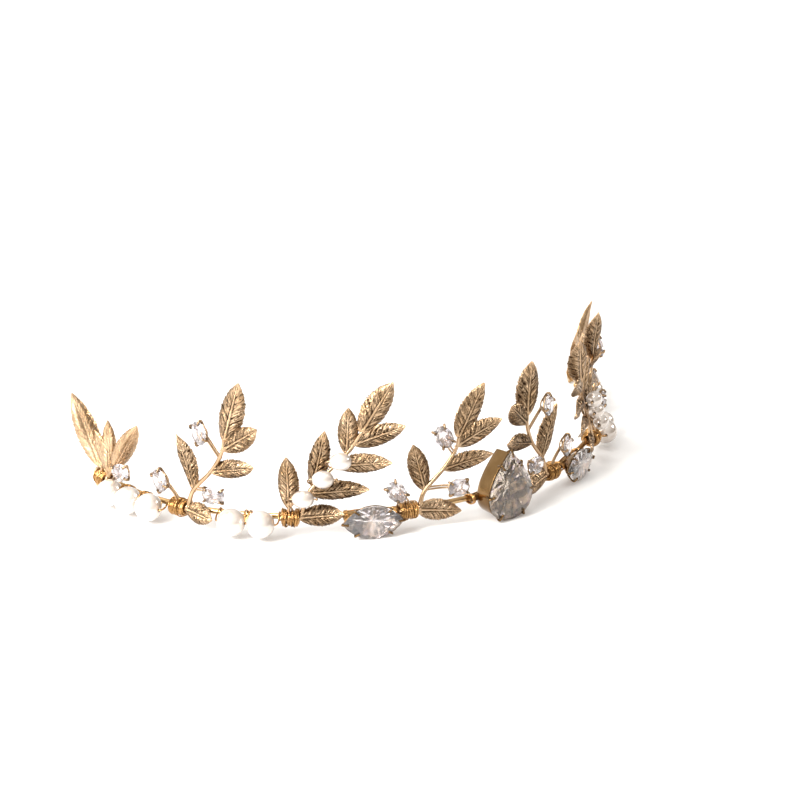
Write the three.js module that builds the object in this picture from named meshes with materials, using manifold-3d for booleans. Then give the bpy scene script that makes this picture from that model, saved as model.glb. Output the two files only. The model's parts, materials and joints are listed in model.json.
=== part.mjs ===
// A bridal tiara, in millimetres, with +Z up and the wearer's front towards -Y.
//
// A bent base wire runs round the head. Leaf sprays cast in gold, set stones and pearls stand on
// it, and every one of them is bound on with fine wire. From the centre outwards each side has a
// stone spray, a marquise stone, a pearl spray, two pearls, a second stone spray, three pearls and
// an end sprig. A pear stone in a deep cup marks the centre.
import * as THREE from 'three';
import Module from 'manifold-3d';
import { mergeVertices } from 'three/addons/utils/BufferGeometryUtils.js';

const wasm = await Module();
wasm.setup();

// Base wire: a front arc, then an arm on each side. Each row is the length of a stretch and the
// radius it is bent to. The right arm has a sharper bend where it starts and is nearly straight.
const WIRE_RADIUS = 0.75;
const WIRE_HEIGHT = 5.2;
const FRONT_RADIUS = 85;
const ARM_RADIUS = { left: 59, right: 1000 };
const WIRE_BENDS = {
  left: [[55, FRONT_RADIUS], [62, ARM_RADIUS.left]],
  right: [[53.9, FRONT_RADIUS], [3, 12], [60.1, ARM_RADIUS.right]],
};
const WIRE_END = 117;

// Hammered eyelet at each end of the base wire.
const EYELET_RADIUS = 2.95;
const EYELET_HOLE = 1.6;
const EYELET_THICKNESS = 1.2;

// Places along the base wire, measured from the centre.
const PLACES = {
  left: {
    front: 25, marquise: 34.6, middle: 54, pearlPair: 60.7, side: 82.3, pearlTriple: 89.2, end: 110.8,
  },
  right: {
    front: 21.5, marquise: 32, middle: 51.4, pearlPair: 58.2, side: 79.8, pearlTriple: 86.7, end: 109.5,
  },
};

// Pearls.
const PEARL_RADIUS = 3.5;
const PEARL_PITCH = 7.3;
const PEARL_HEIGHT = 4.6;
const PEARL_OFFSET = 4.2;
const STEM_PEARL_RADIUS = 2.2;
const STEM_PEARL_HALF_LENGTH = 2.7;
const DRILL_RADIUS = 0.5;

// Leaves and stems.
const LEAF_THICKNESS = 0.5;
const LEAF_FOLD = 0.22;
const STEM_RADIUS = 0.7;
const TWIG_RADIUS = 0.4;
const FINE_WIRE_RADIUS = 0.25;
const FINE_WIRE_CLEARANCE = 0.15;

// A stem's tail lies along the front of the base wire, inside its binding. The binding leaves a
// gap between its turns where a second stem comes out.
const TAIL_RADIUS = STEM_RADIUS;
const TAIL_GAP = 0.2;
const TAIL_OUT = WIRE_RADIUS + TAIL_GAP + TAIL_RADIUS;
const BINDING_WIRE_RADIUS = 0.35;
const BINDING_TURNS = [-2, -1.2, 0.4, 1.05, 1.7];
const BINDING_HALF_HEIGHT = 1.85;
const BINDING_HALF_DEPTH = 2.2;
const BINDING_OUT = 0.8;

// Each spray was bent by hand: how far its top bows towards the centre, how much taller it stands
// than its pattern, and the angle by which its upright leaves are turned about their stalks.
const SPRAY_HEIGHT = 33;
const SPRAY_BEND = {
  left_front: { bow: 2.8, height: 0.95, turn: 0 },
  right_front: { bow: -5.6, height: 1.02, turn: 0.45 },
  left_middle: { bow: 0, height: 1, turn: 0 },
  right_middle: { bow: 0, height: 1, turn: 0.6 },
  left_side: { bow: 1, height: 1.06, turn: 0 },
  right_side: { bow: -2, height: 1, turn: 0.8 },
};

// Back bar of a setting that stands on the base wire itself.
const BAR_RADIUS = 0.45;
const BAR_OUT = WIRE_RADIUS + TAIL_GAP + BAR_RADIUS;

// Stones: half width, half height, crown height and pavilion depth.
const PEAR = { halfWidth: 7, halfHeight: 9, crown: 1.5, pavilion: 3.2 };
const MARQUISE = { halfWidth: 7.5, halfHeight: 4.2, crown: 1, pavilion: 2 };
const OVAL = { halfWidth: 2.3, halfHeight: 3, crown: 0.8, pavilion: 1.5 };
const PLATE_SHARE = 0.5;
const CLAW_RADIUS = 0.3;
const CLAW_CLEARANCE = 0.25;
const CUP_RIM_SHARE = 0.96;
const CUP_STONE_GAP = 0.25;

const LEAF_GOLD = new THREE.MeshStandardMaterial({ color: 0xb99a6b, roughness: 0.38, metalness: 1 });
const WIRE_GOLD = new THREE.MeshStandardMaterial({ color: 0xc79a4e, roughness: 0.3, metalness: 1 });
const CRYSTAL = new THREE.MeshStandardMaterial({ color: 0xe8eef2, roughness: 0.04, metalness: 0 });
const NACRE = new THREE.MeshStandardMaterial({ color: 0xf3ece2, roughness: 0.22, metalness: 0 });

// ---- plan of the base wire -------------------------------------------------------------------

/** Place and heading of the base wire at a distance from the centre: minus is left, plus right. */
function wirePlan(distance) {
  const sign = Math.sign(distance);
  let remaining = Math.abs(distance);
  let x = 0;
  let y = 0;
  let heading = 0;
  for (const [length, radius] of WIRE_BENDS[distance < 0 ? 'left' : 'right']) {
    const next = heading + Math.min(remaining, length) / radius;
    x += radius * (Math.sin(next) - Math.sin(heading));
    y += radius * (Math.cos(heading) - Math.cos(next));
    heading = next;
    remaining = Math.max(remaining - length, 0);
  }
  return { x: sign * x, y, heading: sign * heading };
}

/** The base wire's centre line, followed from the left end to the right end. */
class WireCurve extends THREE.Curve {
  getPoint(t, target = new THREE.Vector3()) {
    const plan = wirePlan((2 * t - 1) * WIRE_END);
    return target.set(plan.x, plan.y, WIRE_HEIGHT);
  }
}

/** A group that stands on the base wire: its x runs along the wire, its y inwards, its z up. */
function standOnWire(distance) {
  const plan = wirePlan(distance);
  const stand = new THREE.Group();
  stand.position.set(plan.x, plan.y, WIRE_HEIGHT);
  stand.rotation.z = plan.heading;
  return stand;
}

/** Turns (towards the centre, up, outwards) into a point in a stand's own frame. */
function pointMaker(side) {
  const towardsCentre = side === 'left' ? 1 : -1;
  return (inward, up, out = 0) => new THREE.Vector3(towardsCentre * inward, -out, up);
}

/** The same, for a spray that was bent by hand: its top bows to one side and it is taller or lower. */
function bentPointMaker(side, { bow, height }) {
  const at = pointMaker(side);
  return (inward, up, out = 0) => at(inward + bow * (up / SPRAY_HEIGHT) ** 2, up * height, out);
}

// ---- solids ----------------------------------------------------------------------------------

/** Turns a closed three.js geometry into a solid that can be joined or cut. */
function toSolid(geometry) {
  const bare = geometry.clone();
  bare.deleteAttribute('normal');
  bare.deleteAttribute('uv');
  const merged = mergeVertices(bare, 1e-4);
  return new wasm.Manifold(new wasm.Mesh({
    numProp: 3,
    vertProperties: new Float32Array(merged.attributes.position.array),
    triVerts: new Uint32Array(merged.index.array),
  }));
}

/** Turns a solid back into a geometry. */
function toGeometry(solid) {
  const mesh = solid.getMesh();
  const geometry = new THREE.BufferGeometry();
  geometry.setAttribute('position', new THREE.BufferAttribute(mesh.vertProperties, 3));
  geometry.setIndex(new THREE.BufferAttribute(mesh.triVerts, 1));
  geometry.computeVertexNormals();
  return geometry;
}

/** Joins several closed geometries into one. */
function join(geometries) {
  let solid = toSolid(geometries[0]);
  for (const geometry of geometries.slice(1)) {
    solid = solid.add(toSolid(geometry));
  }
  return toGeometry(solid);
}

/** A closed skin over rings of points that run anticlockwise about the direction of travel. */
function loft(rings) {
  const count = rings[0].length;
  const positions = rings.flat().flatMap((point) => point.toArray());
  const faces = [];
  for (let i = 0; i + 1 < rings.length; i += 1) {
    for (let k = 0; k < count; k += 1) {
      const a = i * count + k;
      const b = i * count + (k + 1) % count;
      faces.push(a, b, b + count, a, b + count, a + count);
    }
  }
  const last = (rings.length - 1) * count;
  for (let k = 1; k + 1 < count; k += 1) {
    faces.push(0, k + 1, k);
    faces.push(last, last + k, last + k + 1);
  }
  const skin = new THREE.BufferGeometry();
  skin.setAttribute('position', new THREE.Float32BufferAttribute(positions, 3));
  skin.setIndex(faces);
  skin.computeVertexNormals();
  return skin;
}

/** A round wire through points, with as many sides and steps as its size deserves. */
function wire(points, radius, steps, sides = 5) {
  const corners = [];
  for (let k = 0; k < sides; k += 1) {
    const angle = (2 * Math.PI * k) / sides;
    corners.push(new THREE.Vector2(radius * Math.cos(angle), radius * Math.sin(angle)));
  }
  const extrudePath = new THREE.CatmullRomCurve3(points, false, 'centripetal');
  return new THREE.ExtrudeGeometry(new THREE.Shape(corners), { extrudePath, steps });
}

/** A matrix that puts a piece's own z along a facing direction and its own y as near up as it can. */
function facing(position, face, up = new THREE.Vector3(0, 0, 1)) {
  const zAxis = face.clone().normalize();
  const xAxis = up.clone().cross(zAxis).normalize();
  const yAxis = zAxis.clone().cross(xAxis);
  return new THREE.Matrix4().makeBasis(xAxis, yAxis, zAxis).setPosition(position);
}

/** A named mesh. */
function piece(name, geometry, material, matrix) {
  const mesh = new THREE.Mesh(geometry, material);
  mesh.name = name;
  if (matrix) {
    mesh.applyMatrix4(matrix);
  }
  return mesh;
}

// ---- leaves ----------------------------------------------------------------------------------

const LEAF_STATIONS = [0, 0.2, 0.5, 0.84, 1];

/** Half the width of a pointed oval leaf, as a share of its widest, from base (0) to tip (1). */
function leafProfile(t) {
  return 0.1 + 0.9 * Math.sin(Math.PI * t ** 0.9) ** 0.65;
}

/** A leaf folded along its midrib. Out is the way its face looks, and its tip curls that way. */
function leaf(base, tip, width, out, curl = 0.8) {
  const along = tip.clone().sub(base);
  const length = along.length();
  along.normalize();
  const across = out.clone().cross(along).normalize();
  const face = along.clone().cross(across);
  const rings = LEAF_STATIONS.map((t) => {
    const half = (width / 2) * leafProfile(Math.min(t, 0.999));
    const spine = base.clone().addScaledVector(along, t * length).addScaledVector(face, curl * t * t);
    const edge = (sideways, lift) => spine.clone()
      .addScaledVector(across, sideways * half)
      .addScaledVector(face, lift - LEAF_FOLD * half * Math.abs(sideways));
    const top = LEAF_THICKNESS / 2;
    return [edge(1, top), edge(0, top), edge(-1, top), edge(-1, -top), edge(0, -top), edge(1, -top)];
  });
  return loft(rings);
}

// ---- stones and their settings ---------------------------------------------------------------

/** Outline of a stone at an angle, in its own x and y. */
const OUTLINES = {
  oval: (size, angle) => [size.halfWidth * Math.cos(angle), size.halfHeight * Math.sin(angle)],
  pear: (size, angle) => [
    size.halfWidth * 1.31 * Math.cos(angle) * Math.sqrt((1 - Math.sin(angle)) / 2 + 0.008),
    size.halfHeight * Math.sin(angle),
  ],
  marquise: (size, angle) => [
    size.halfWidth * Math.cos(angle),
    size.halfHeight * Math.sign(Math.sin(angle)) * Math.abs(Math.sin(angle)) ** 1.6,
  ],
};

/** A ring round a stone's outline: scaled, then pushed outwards by a margin, at a height. */
function stoneRing(outline, size, count, scale, margin, height) {
  const ring = [];
  for (let k = 0; k < count; k += 1) {
    const [x, y] = outline(size, (2 * Math.PI * k) / count);
    const reach = Math.hypot(x, y);
    const grow = scale + margin / reach;
    ring.push(new THREE.Vector3(x * grow, y * grow, height));
  }
  return ring;
}

/** A cut stone: culet, girdle and table, with its girdle in its own z = 0 plane. */
function stone(outline, size, count) {
  return loft([
    stoneRing(outline, size, count, 0.12, 0, -size.pavilion),
    stoneRing(outline, size, count, 1, 0, -0.15),
    stoneRing(outline, size, count, 1, 0, 0.15),
    stoneRing(outline, size, count, 0.58, 0, size.crown),
  ]);
}

/** A three-sided bar through points that all lie in one plane, with its ridge inwards. */
function bar(points, sideways, radius) {
  const rings = points.map((point, k) => {
    const before = points[Math.max(k - 1, 0)];
    const after = points[Math.min(k + 1, points.length - 1)];
    const along = after.clone().sub(before).normalize();
    const outwards = along.clone().cross(sideways);
    return [0, 1, 2].map((corner) => {
      const angle = (Math.PI * (4 * corner + 3)) / 6;
      return point.clone()
        .addScaledVector(sideways, radius * Math.cos(angle))
        .addScaledVector(outwards, radius * Math.sin(angle));
    });
  });
  return loft(rings);
}

/** One claw: it leaves the back, passes outside the girdle and bends over the crown. */
function claw(outline, size, angle) {
  const [x, y] = outline(size, angle);
  const reach = Math.hypot(x, y);
  const at = (share, margin, height) => {
    const grow = share + margin / reach;
    return new THREE.Vector3(x * grow, y * grow, height);
  };
  const margin = CLAW_RADIUS + CLAW_CLEARANCE;
  const points = [
    at(0.16, 0, -size.pavilion - 0.6),
    at(0.93, margin, -size.pavilion * 0.4),
    at(1, margin, 0.3),
    at(0.94, 0.1, 0.3 + size.crown * 0.15 + margin),
  ];
  return bar(points, new THREE.Vector3(-y / reach, x / reach, 0), CLAW_RADIUS);
}

/** Base plate and claws that hold a small stone, as a list of overlapping geometries. */
function clawSetting(outline, size, clawAngles) {
  const plate = loft([
    stoneRing(outline, size, 6, PLATE_SHARE, 0, -size.pavilion - 0.9),
    stoneRing(outline, size, 6, PLATE_SHARE, 0, -size.pavilion - 0.3),
  ]);
  return [plate, ...clawAngles.map((angle) => claw(outline, size, angle))];
}

/** A cup hollowed to take a large stone, with claws on its rim, as one geometry. */
function cupSetting(outline, size, count, { depth, backShare }, clawAngles) {
  const rim = -0.7;
  const cup = toSolid(loft([
    stoneRing(outline, size, count, backShare, 0, -depth),
    stoneRing(outline, size, count, CUP_RIM_SHARE, 0, rim),
  ]));
  const hollow = toSolid(loft([
    stoneRing(outline, size, count, 0.12, CUP_STONE_GAP, -size.pavilion - CUP_STONE_GAP),
    stoneRing(outline, size, count, 1, CUP_STONE_GAP, -0.15),
    stoneRing(outline, size, count, 1, CUP_STONE_GAP, 1),
  ]));
  return join([toGeometry(cup.subtract(hollow)), ...clawAngles.map((angle) => claw(outline, size, angle))]);
}

/** Angles spread evenly round a stone, from a first one. */
function evenAngles(count, first) {
  return Array.from({ length: count }, (_, k) => first + (2 * Math.PI * k) / count);
}

// ---- fine wire -------------------------------------------------------------------------------

/** Points of an oval coil round the base wire that crosses its top at each given place along it. */
function coilPoints(at, turns, stepsPerTurn, halfHeight, halfDepth, out) {
  const points = [];
  for (let k = 0; k <= (turns.length - 1) * stepsPerTurn; k += 1) {
    const turn = Math.min(Math.floor(k / stepsPerTurn), turns.length - 2);
    const share = k / stepsPerTurn - turn;
    const angle = 2 * Math.PI * share;
    const along = turns[turn] + (turns[turn + 1] - turns[turn]) * share;
    points.push(at(along, halfHeight * Math.cos(angle), out + halfDepth * Math.sin(angle)));
  }
  return points;
}

/** The coil that binds a stem's tail to the base wire. */
function binding(at) {
  const points = coilPoints(at, BINDING_TURNS, 6, BINDING_HALF_HEIGHT, BINDING_HALF_DEPTH, BINDING_OUT);
  return wire(points, BINDING_WIRE_RADIUS, points.length - 1, 4);
}

/**
 * Two coils and the run between them, which tie a setting's back bar to the base wire. The bar is
 * straight, so the base wire bends away from it by the setback at each coil.
 */
function settingTie(at, reach) {
  const setback = reach ** 2 / (2 * FRONT_RADIUS);
  const halfHeight = WIRE_RADIUS + FINE_WIRE_RADIUS + FINE_WIRE_CLEARANCE + 0.1;
  const barFace = BAR_OUT + BAR_RADIUS;
  const halfDepth = (WIRE_RADIUS + barFace + setback) / 2 + FINE_WIRE_RADIUS + FINE_WIRE_CLEARANCE;
  const out = (barFace - WIRE_RADIUS - setback) / 2;
  const coil = (turns) => coilPoints(at, turns, 7, halfHeight, halfDepth * 1.15, out - 0.15);
  const points = [
    ...coil([-reach - 0.3, -reach + 0.3]),
    at(0, halfHeight + 0.1, 0),
    ...coil([reach - 0.3, reach + 0.3]),
  ];
  return wire(points, FINE_WIRE_RADIUS, 26, 4);
}

// ---- stems -----------------------------------------------------------------------------------

/** A stem that starts as a tail along the base wire and then rises through the given points. */
function stem(at, risePoints, steps) {
  const tail = [at(-2.3, 0, TAIL_OUT), at(0, 0, TAIL_OUT), at(1.7, 0, TAIL_OUT), at(2.6, 0.6, 1.6)];
  return wire([...tail, ...risePoints], STEM_RADIUS, steps, 5);
}

/** Leaves from rows of base, tip and width. They face outwards but for their own turn and a shared one. */
function leaves(at, rows, sharedTurn = 0) {
  return rows.map(({ base, tip, width, turn }) => {
    const out = at(Math.sin(turn + sharedTurn), 0, Math.cos(turn + sharedTurn));
    return leaf(at(...base), at(...tip), width, out);
  });
}

/** A set stone on its twig: the setting joins the branch, and the stone is a mesh of its own. */
function setStone(at, name, { twig, place, face }) {
  const centre = at(...place);
  const twigPoints = twig.map((point) => at(...point));
  const upright = centre.clone().sub(twigPoints[twigPoints.length - 1]);
  const matrix = facing(centre, at(...face), upright);
  twigPoints.push(new THREE.Vector3(0, 0, -OVAL.pavilion - 0.6).applyMatrix4(matrix));
  const setting = clawSetting(OUTLINES.oval, OVAL, evenAngles(4, Math.PI / 4));
  setting.forEach((part) => part.applyMatrix4(matrix));
  return {
    metal: [wire(twigPoints, TWIG_RADIUS, 3, 4), ...setting],
    gem: piece(name, stone(OUTLINES.oval, OVAL, 10), CRYSTAL, matrix),
  };
}

// ---- sprays ----------------------------------------------------------------------------------

const STONE_SPRAY_STEM = [[3, 1.6, 1.3], [4.4, 5.2, 0.9], [9, 10.1, 0.5], [12, 15, 0.3], [12.6, 18.5, 0.2]];
const STONE_SPRAY_LEAVES = [
  { base: [12.5, 18, 0.2], tip: [16.7, 32.8, 0.6], width: 6.3, turn: 0.1 },
  { base: [12.3, 16, 0.3], tip: [22.7, 22.9, 1.2], width: 5.4, turn: -0.1 },
  { base: [9, 10.1, 0.5], tip: [21.7, 13.4, 0.8], width: 4.8, turn: 0.15 },
  { base: [4.3, 5, 0.9], tip: [0.1, 18.2, 0.6], width: 5.2, turn: -0.15 },
];
const STONE_SPRAY_STONES = {
  low_stone: { twig: [[-0.4, 0.1, 1.5], [-0.4, 2.6, 1.4]], place: [-4.1, 6.6, 3.4], face: [-0.25, 0.1, 1] },
  high_stone: { twig: [[11.8, 13.8, 0.4], [10.4, 15.6, 0.6]], place: [7.2, 20, 3], face: [-0.2, 0.15, 1] },
  inner_stone: { twig: [[4.6, 5.4, 0.9], [8, 5.6, 1.2]], place: [12, 6, 4.2], face: [0.1, 0.1, 1] },
};
// The leaf along the base wire is shorter where pearls follow it.
const BAND_LEAF_TIPS = { front: [13.4, -1.2, 2.2], side: [10.2, -1.2, 2.2], middle: [13.3, 1.8, 2.7] };

/** The leaf that lies along the front of the base wire, from the binding towards the centre. */
function bandLeaf(at, place) {
  return leaf(at(2.45, 0.6, 1.55), at(...BAND_LEAF_TIPS[place]), 5.2, at(0, 0.15, 1), 0.2);
}

/** Stem, five leaves and three set stones. */
function stoneSpray(side, place, distance) {
  const bend = SPRAY_BEND[`${side}_${place}`];
  const at = bentPointMaker(side, bend);
  const stand = standOnWire(side === 'left' ? -distance : distance);
  const rise = STONE_SPRAY_STEM.map((point) => at(...point));
  const metal = [stem(at, rise, 8), bandLeaf(at, place), ...leaves(at, STONE_SPRAY_LEAVES, bend.turn)];
  for (const [stoneName, row] of Object.entries(STONE_SPRAY_STONES)) {
    const set = setStone(at, `${side}_${place}_${stoneName}`, row);
    metal.push(...set.metal);
    stand.add(set.gem);
  }
  stand.add(piece(`${side}_${place}_branch`, join(metal), LEAF_GOLD));
  stand.add(piece(`${side}_${place}_binding`, binding(pointMaker(side)), WIRE_GOLD));
  return stand;
}

const PEARL_SPRAY_STEM = [
  [2.9, 1.6, 1.3], [4.6, 6.6, 0.6], [9.4, 11.9, 0.1], [13.8, 16.6, 0.1], [17.3, 22, 0.2],
];
const PEARL_SPRAY_LEAVES = [
  { base: [17.1, 21.6, 0.2], tip: [24.6, 35, 0.6], width: 6.3, turn: 0.1 },
  { base: [15.4, 18.7, 0.1], tip: [27.8, 24, 1], width: 5.2, turn: -0.1 },
  { base: [13.6, 16.2, 0.1], tip: [14.1, 28.3, 0.4], width: 5, turn: -0.1 },
  { base: [10.8, 13.2, 0.1], tip: [24.8, 14.6, 0.6], width: 5, turn: 0.1 },
  { base: [5.4, 7.7, 0.4], tip: [8.5, 22.4, 0.2], width: 5, turn: -0.15 },
  { base: [4.6, 6.2, 0.6], tip: [19.2, 7.6, 0.7], width: 5, turn: 0.1 },
  { base: [-0.4, 2.6, 1.3], tip: [-0.8, 15.8, 0.3], width: 5.2, turn: -0.15 },
];
const LOW_LEAF_FOOT = [[-0.4, 0.2, 1.6], [-0.4, 1.6, 1.5], [-0.4, 3.2, 1.3]];
const STEM_PEARLS = {
  low_pearl: { centre: [3.2, 6, 3.8], foot: [3.3, 3.2, 1.1] },
  mid_pearl: { centre: [8, 10.9, 3.2], foot: [5.4, 8.3, 0.2] },
  high_pearl: { centre: [12.2, 15.5, 3.2], foot: [9.6, 12.9, 0.2] },
};

/** A pearl with a drilled hole along its own y, longer along the hole where it is a rice pearl. */
function drilledPearl(radius, halfLength, segments) {
  const start = Math.asin(DRILL_RADIUS / radius);
  const steps = 5;
  const profile = [];
  for (let k = 0; k <= steps; k += 1) {
    const angle = -Math.PI / 2 + start + ((Math.PI - 2 * start) * k) / steps;
    profile.push(new THREE.Vector2(radius * Math.cos(angle), halfLength * Math.sin(angle)));
  }
  profile.push(profile[0].clone());
  return new THREE.LatheGeometry(profile, segments);
}

/** A pin that leaves the stem, runs level through a stem pearl and ends just past it. */
function pearlPin(at, { centre: [inward, up, out], foot }) {
  const reach = STEM_PEARL_HALF_LENGTH;
  return wire([
    at(...foot),
    at(inward - reach - 1, up - 1.2, out * 0.6),
    at(inward - reach - 0.3, up, out),
    at(inward + reach * 0.5, up, out),
    at(inward + reach + 0.7, up, out),
  ], FINE_WIRE_RADIUS, 8, 4);
}

/** Stem, eight leaves and three pearls on pins. */
function pearlSpray(side, place, distance) {
  const bend = SPRAY_BEND[`${side}_${place}`];
  const at = bentPointMaker(side, bend);
  const stand = standOnWire(side === 'left' ? -distance : distance);
  const rise = PEARL_SPRAY_STEM.map((point) => at(...point));
  const foot = wire(LOW_LEAF_FOOT.map((point) => at(...point)), TWIG_RADIUS, 2, 5);
  const metal = [stem(at, rise, 9), foot, bandLeaf(at, place), ...leaves(at, PEARL_SPRAY_LEAVES, bend.turn)];
  for (const [pearlName, onStem] of Object.entries(STEM_PEARLS)) {
    metal.push(pearlPin(at, onStem));
    const rice = drilledPearl(STEM_PEARL_RADIUS, STEM_PEARL_HALF_LENGTH, 8);
    const pearl = piece(`${side}_${place}_${pearlName}`, rice, NACRE);
    pearl.position.copy(at(...onStem.centre));
    pearl.rotation.z = Math.PI / 2;
    stand.add(pearl);
  }
  stand.add(piece(`${side}_${place}_branch`, join(metal), LEAF_GOLD));
  stand.add(piece(`${side}_${place}_binding`, binding(pointMaker(side)), WIRE_GOLD));
  return stand;
}

const END_SPRIG_STEM = [[2.9, 1.8, 1.2], [5.6, 4, 0.6], [7.4, 4.6, 0.2]];
const END_SPRIG_LEAVES = [
  { base: [-0.4, 3, 1.5], tip: [-9, 21.4, 4.6], width: 5.8, turn: 0.6 },
  { base: [2.9, 1.8, 1.2], tip: [-0.6, 13.4, 2.6], width: 4.4, turn: -0.3 },
  { base: [3.6, 2.6, 1], tip: [2.2, 16.4, 0.2], width: 4, turn: 0.3 },
  { base: [5.4, 3.9, 0.6], tip: [13.4, 17.6, -2.4], width: 5, turn: 0.5 },
];
const END_SPRIG_STONE = {
  twig: [[5.4, 3.9, 0.6], [7.4, 4.6, 0.2]],
  place: [12.8, 5.9, 2.6],
  face: [0.3, 0.1, 1],
};

// The left sprig was twisted towards the front when the arms were bent.
const END_SPRIG_TURN = { left: 0.6, right: 0 };

/** The last sprig on each arm: four leaves and one set stone. */
function endSprig(side, distance) {
  const at = pointMaker(side);
  const stand = standOnWire(side === 'left' ? -distance : distance);
  const rise = END_SPRIG_STEM.map((point) => at(...point));
  const set = setStone(at, `${side}_end_stone`, END_SPRIG_STONE);
  const foot = wire(LOW_LEAF_FOOT.map((point) => at(...point)), TWIG_RADIUS, 2, 5);
  const blades = leaves(at, END_SPRIG_LEAVES, END_SPRIG_TURN[side]);
  const metal = [stem(at, rise, 6), foot, ...blades, ...set.metal];
  stand.add(set.gem);
  stand.add(piece(`${side}_end_branch`, join(metal), LEAF_GOLD));
  stand.add(piece(`${side}_end_binding`, binding(at), WIRE_GOLD));
  return stand;
}

// ---- pieces on the base wire -----------------------------------------------------------------

/** The base wire with a hammered eyelet hanging from each end. */
function baseWire() {
  const corners = [];
  for (let k = 0; k < 8; k += 1) {
    const angle = (Math.PI * (k + 0.5)) / 4;
    corners.push(new THREE.Vector2(WIRE_RADIUS * Math.cos(angle), WIRE_RADIUS * Math.sin(angle)));
  }
  const extrudePath = new WireCurve();
  const rod = new THREE.ExtrudeGeometry(new THREE.Shape(corners), { extrudePath, steps: 60 });
  return piece('band_wire', join([rod, eyelet(-1), eyelet(1)]), WIRE_GOLD);
}

/** A flat ring whose hole faces the wearer, with its top on the wire's end. */
function eyelet(sign) {
  const shape = new THREE.Shape();
  shape.absarc(0, 0, EYELET_RADIUS, 0, 2 * Math.PI);
  const hole = new THREE.Path();
  hole.absarc(0, 0, EYELET_HOLE, 0, 2 * Math.PI, true);
  shape.holes.push(hole);
  const ring = new THREE.ExtrudeGeometry(shape, {
    depth: EYELET_THICKNESS,
    bevelEnabled: false,
    curveSegments: 7,
  });
  ring.translate(0, 0, -EYELET_THICKNESS / 2);
  ring.rotateX(Math.PI / 2);
  const stand = standOnWire(sign * WIRE_END);
  const drop = (EYELET_RADIUS + EYELET_HOLE) / 2;
  ring.translate(0, 0, -drop);
  stand.updateMatrix();
  return ring.applyMatrix4(stand.matrix);
}

/** Pearls threaded on one fine wire, which hooks over the base wire at both ends. */
function pearlRow(side, firstNumber, start, count) {
  const row = new THREE.Group();
  const sign = side === 'left' ? -1 : 1;
  const armRadius = ARM_RADIUS[side];
  const pitch = (PEARL_PITCH * armRadius) / (armRadius + PEARL_OFFSET);
  const drop = PEARL_HEIGHT - WIRE_HEIGHT;
  const along = (distance, out, up) => {
    const stand = standOnWire(sign * distance);
    stand.updateMatrix();
    return new THREE.Vector3(0, -out, up).applyMatrix4(stand.matrix);
  };
  const hook = WIRE_RADIUS + FINE_WIRE_RADIUS + 2.4 * FINE_WIRE_CLEARANCE;
  const beyond = PEARL_RADIUS + 0.5;
  const hookAt = (distance) => [
    along(distance, -hook, -0.2),
    along(distance, 0, hook + 0.1),
    along(distance, hook + 0.5, 0.6),
    along(distance, 3.1, -0.4),
  ];
  const path = hookAt(start - beyond);
  for (let k = 0; k < count; k += 1) {
    const distance = start + pitch * k;
    const stand = standOnWire(sign * distance);
    const round = drilledPearl(PEARL_RADIUS, PEARL_RADIUS, 8);
    const pearl = piece(`${side}_band_pearl_${firstNumber + k}`, round, NACRE);
    pearl.position.set(0, -PEARL_OFFSET, drop);
    pearl.rotation.z = Math.PI / 2;
    stand.add(pearl);
    row.add(stand);
    stand.updateMatrix();
    for (const ahead of [-PEARL_RADIUS, 0, PEARL_RADIUS]) {
      path.push(new THREE.Vector3(sign * ahead, -PEARL_OFFSET, drop).applyMatrix4(stand.matrix));
    }
  }
  path.push(...hookAt(start + pitch * (count - 1) + beyond).reverse());
  const thread = wire(path, FINE_WIRE_RADIUS, 18 + 5 * count, 4);
  row.add(piece(`${side}_pearl_wire_${firstNumber}`, thread, WIRE_GOLD));
  return row;
}

/** A stone in a cup on the base wire: the cup with its back bar, the stone and the tie wire. */
function bandStone(prefix, distance, { outline, size, count, place, face, cup, claws, barReach, tieReach }) {
  const at = pointMaker('left');
  const stand = standOnWire(distance);
  const matrix = facing(at(...place), at(...face));
  const setting = cupSetting(outline, size, count, cup, claws).applyMatrix4(matrix);
  const barPoints = [-barReach, 0, barReach].map((along) => at(along, 0, BAR_OUT));
  const bar = wire(barPoints, BAR_RADIUS, 2, 6);
  stand.add(piece(`${prefix}_setting`, join([setting, bar]), LEAF_GOLD));
  stand.add(piece(`${prefix}_stone`, stone(outline, size, count), CRYSTAL, matrix));
  stand.add(piece(`${prefix}_tie`, settingTie(at, tieReach), WIRE_GOLD));
  return stand;
}

/** The marquise stone between the front and middle sprays of one side. */
function marquise(side, distance) {
  return bandStone(`${side}_marquise`, side === 'left' ? -distance : distance, {
    outline: OUTLINES.marquise,
    size: MARQUISE,
    count: 16,
    place: [0, -0.7, 4.4],
    face: [0, 0.05, 1],
    cup: { depth: 2.9, backShare: 0.66 },
    claws: [0, 0.3, 0.7, 1, 1.3, 1.7].map((share) => share * Math.PI),
    barReach: 6.7,
    tieReach: 6.1,
  });
}

/** The pear stone at the centre, its narrow end up. */
function pear() {
  return bandStone('pear', 0, {
    outline: OUTLINES.pear,
    size: PEAR,
    count: 16,
    place: [0, 4, 7.1],
    face: [0, 0.05, 1],
    cup: { depth: 5.7, backShare: 0.93 },
    claws: evenAngles(7, Math.PI / 2),
    barReach: 8.4,
    tieReach: 7.7,
  });
}

// ---- the whole tiara -------------------------------------------------------------------------

const group = new THREE.Group();
group.add(baseWire());
group.add(pear());
for (const side of ['left', 'right']) {
  const place = PLACES[side];
  group.add(stoneSpray(side, 'front', place.front));
  group.add(marquise(side, place.marquise));
  group.add(pearlSpray(side, 'middle', place.middle));
  group.add(pearlRow(side, 1, place.pearlPair, 2));
  group.add(stoneSpray(side, 'side', place.side));
  group.add(pearlRow(side, 3, place.pearlTriple, 3));
  group.add(endSprig(side, place.end));
}

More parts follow.
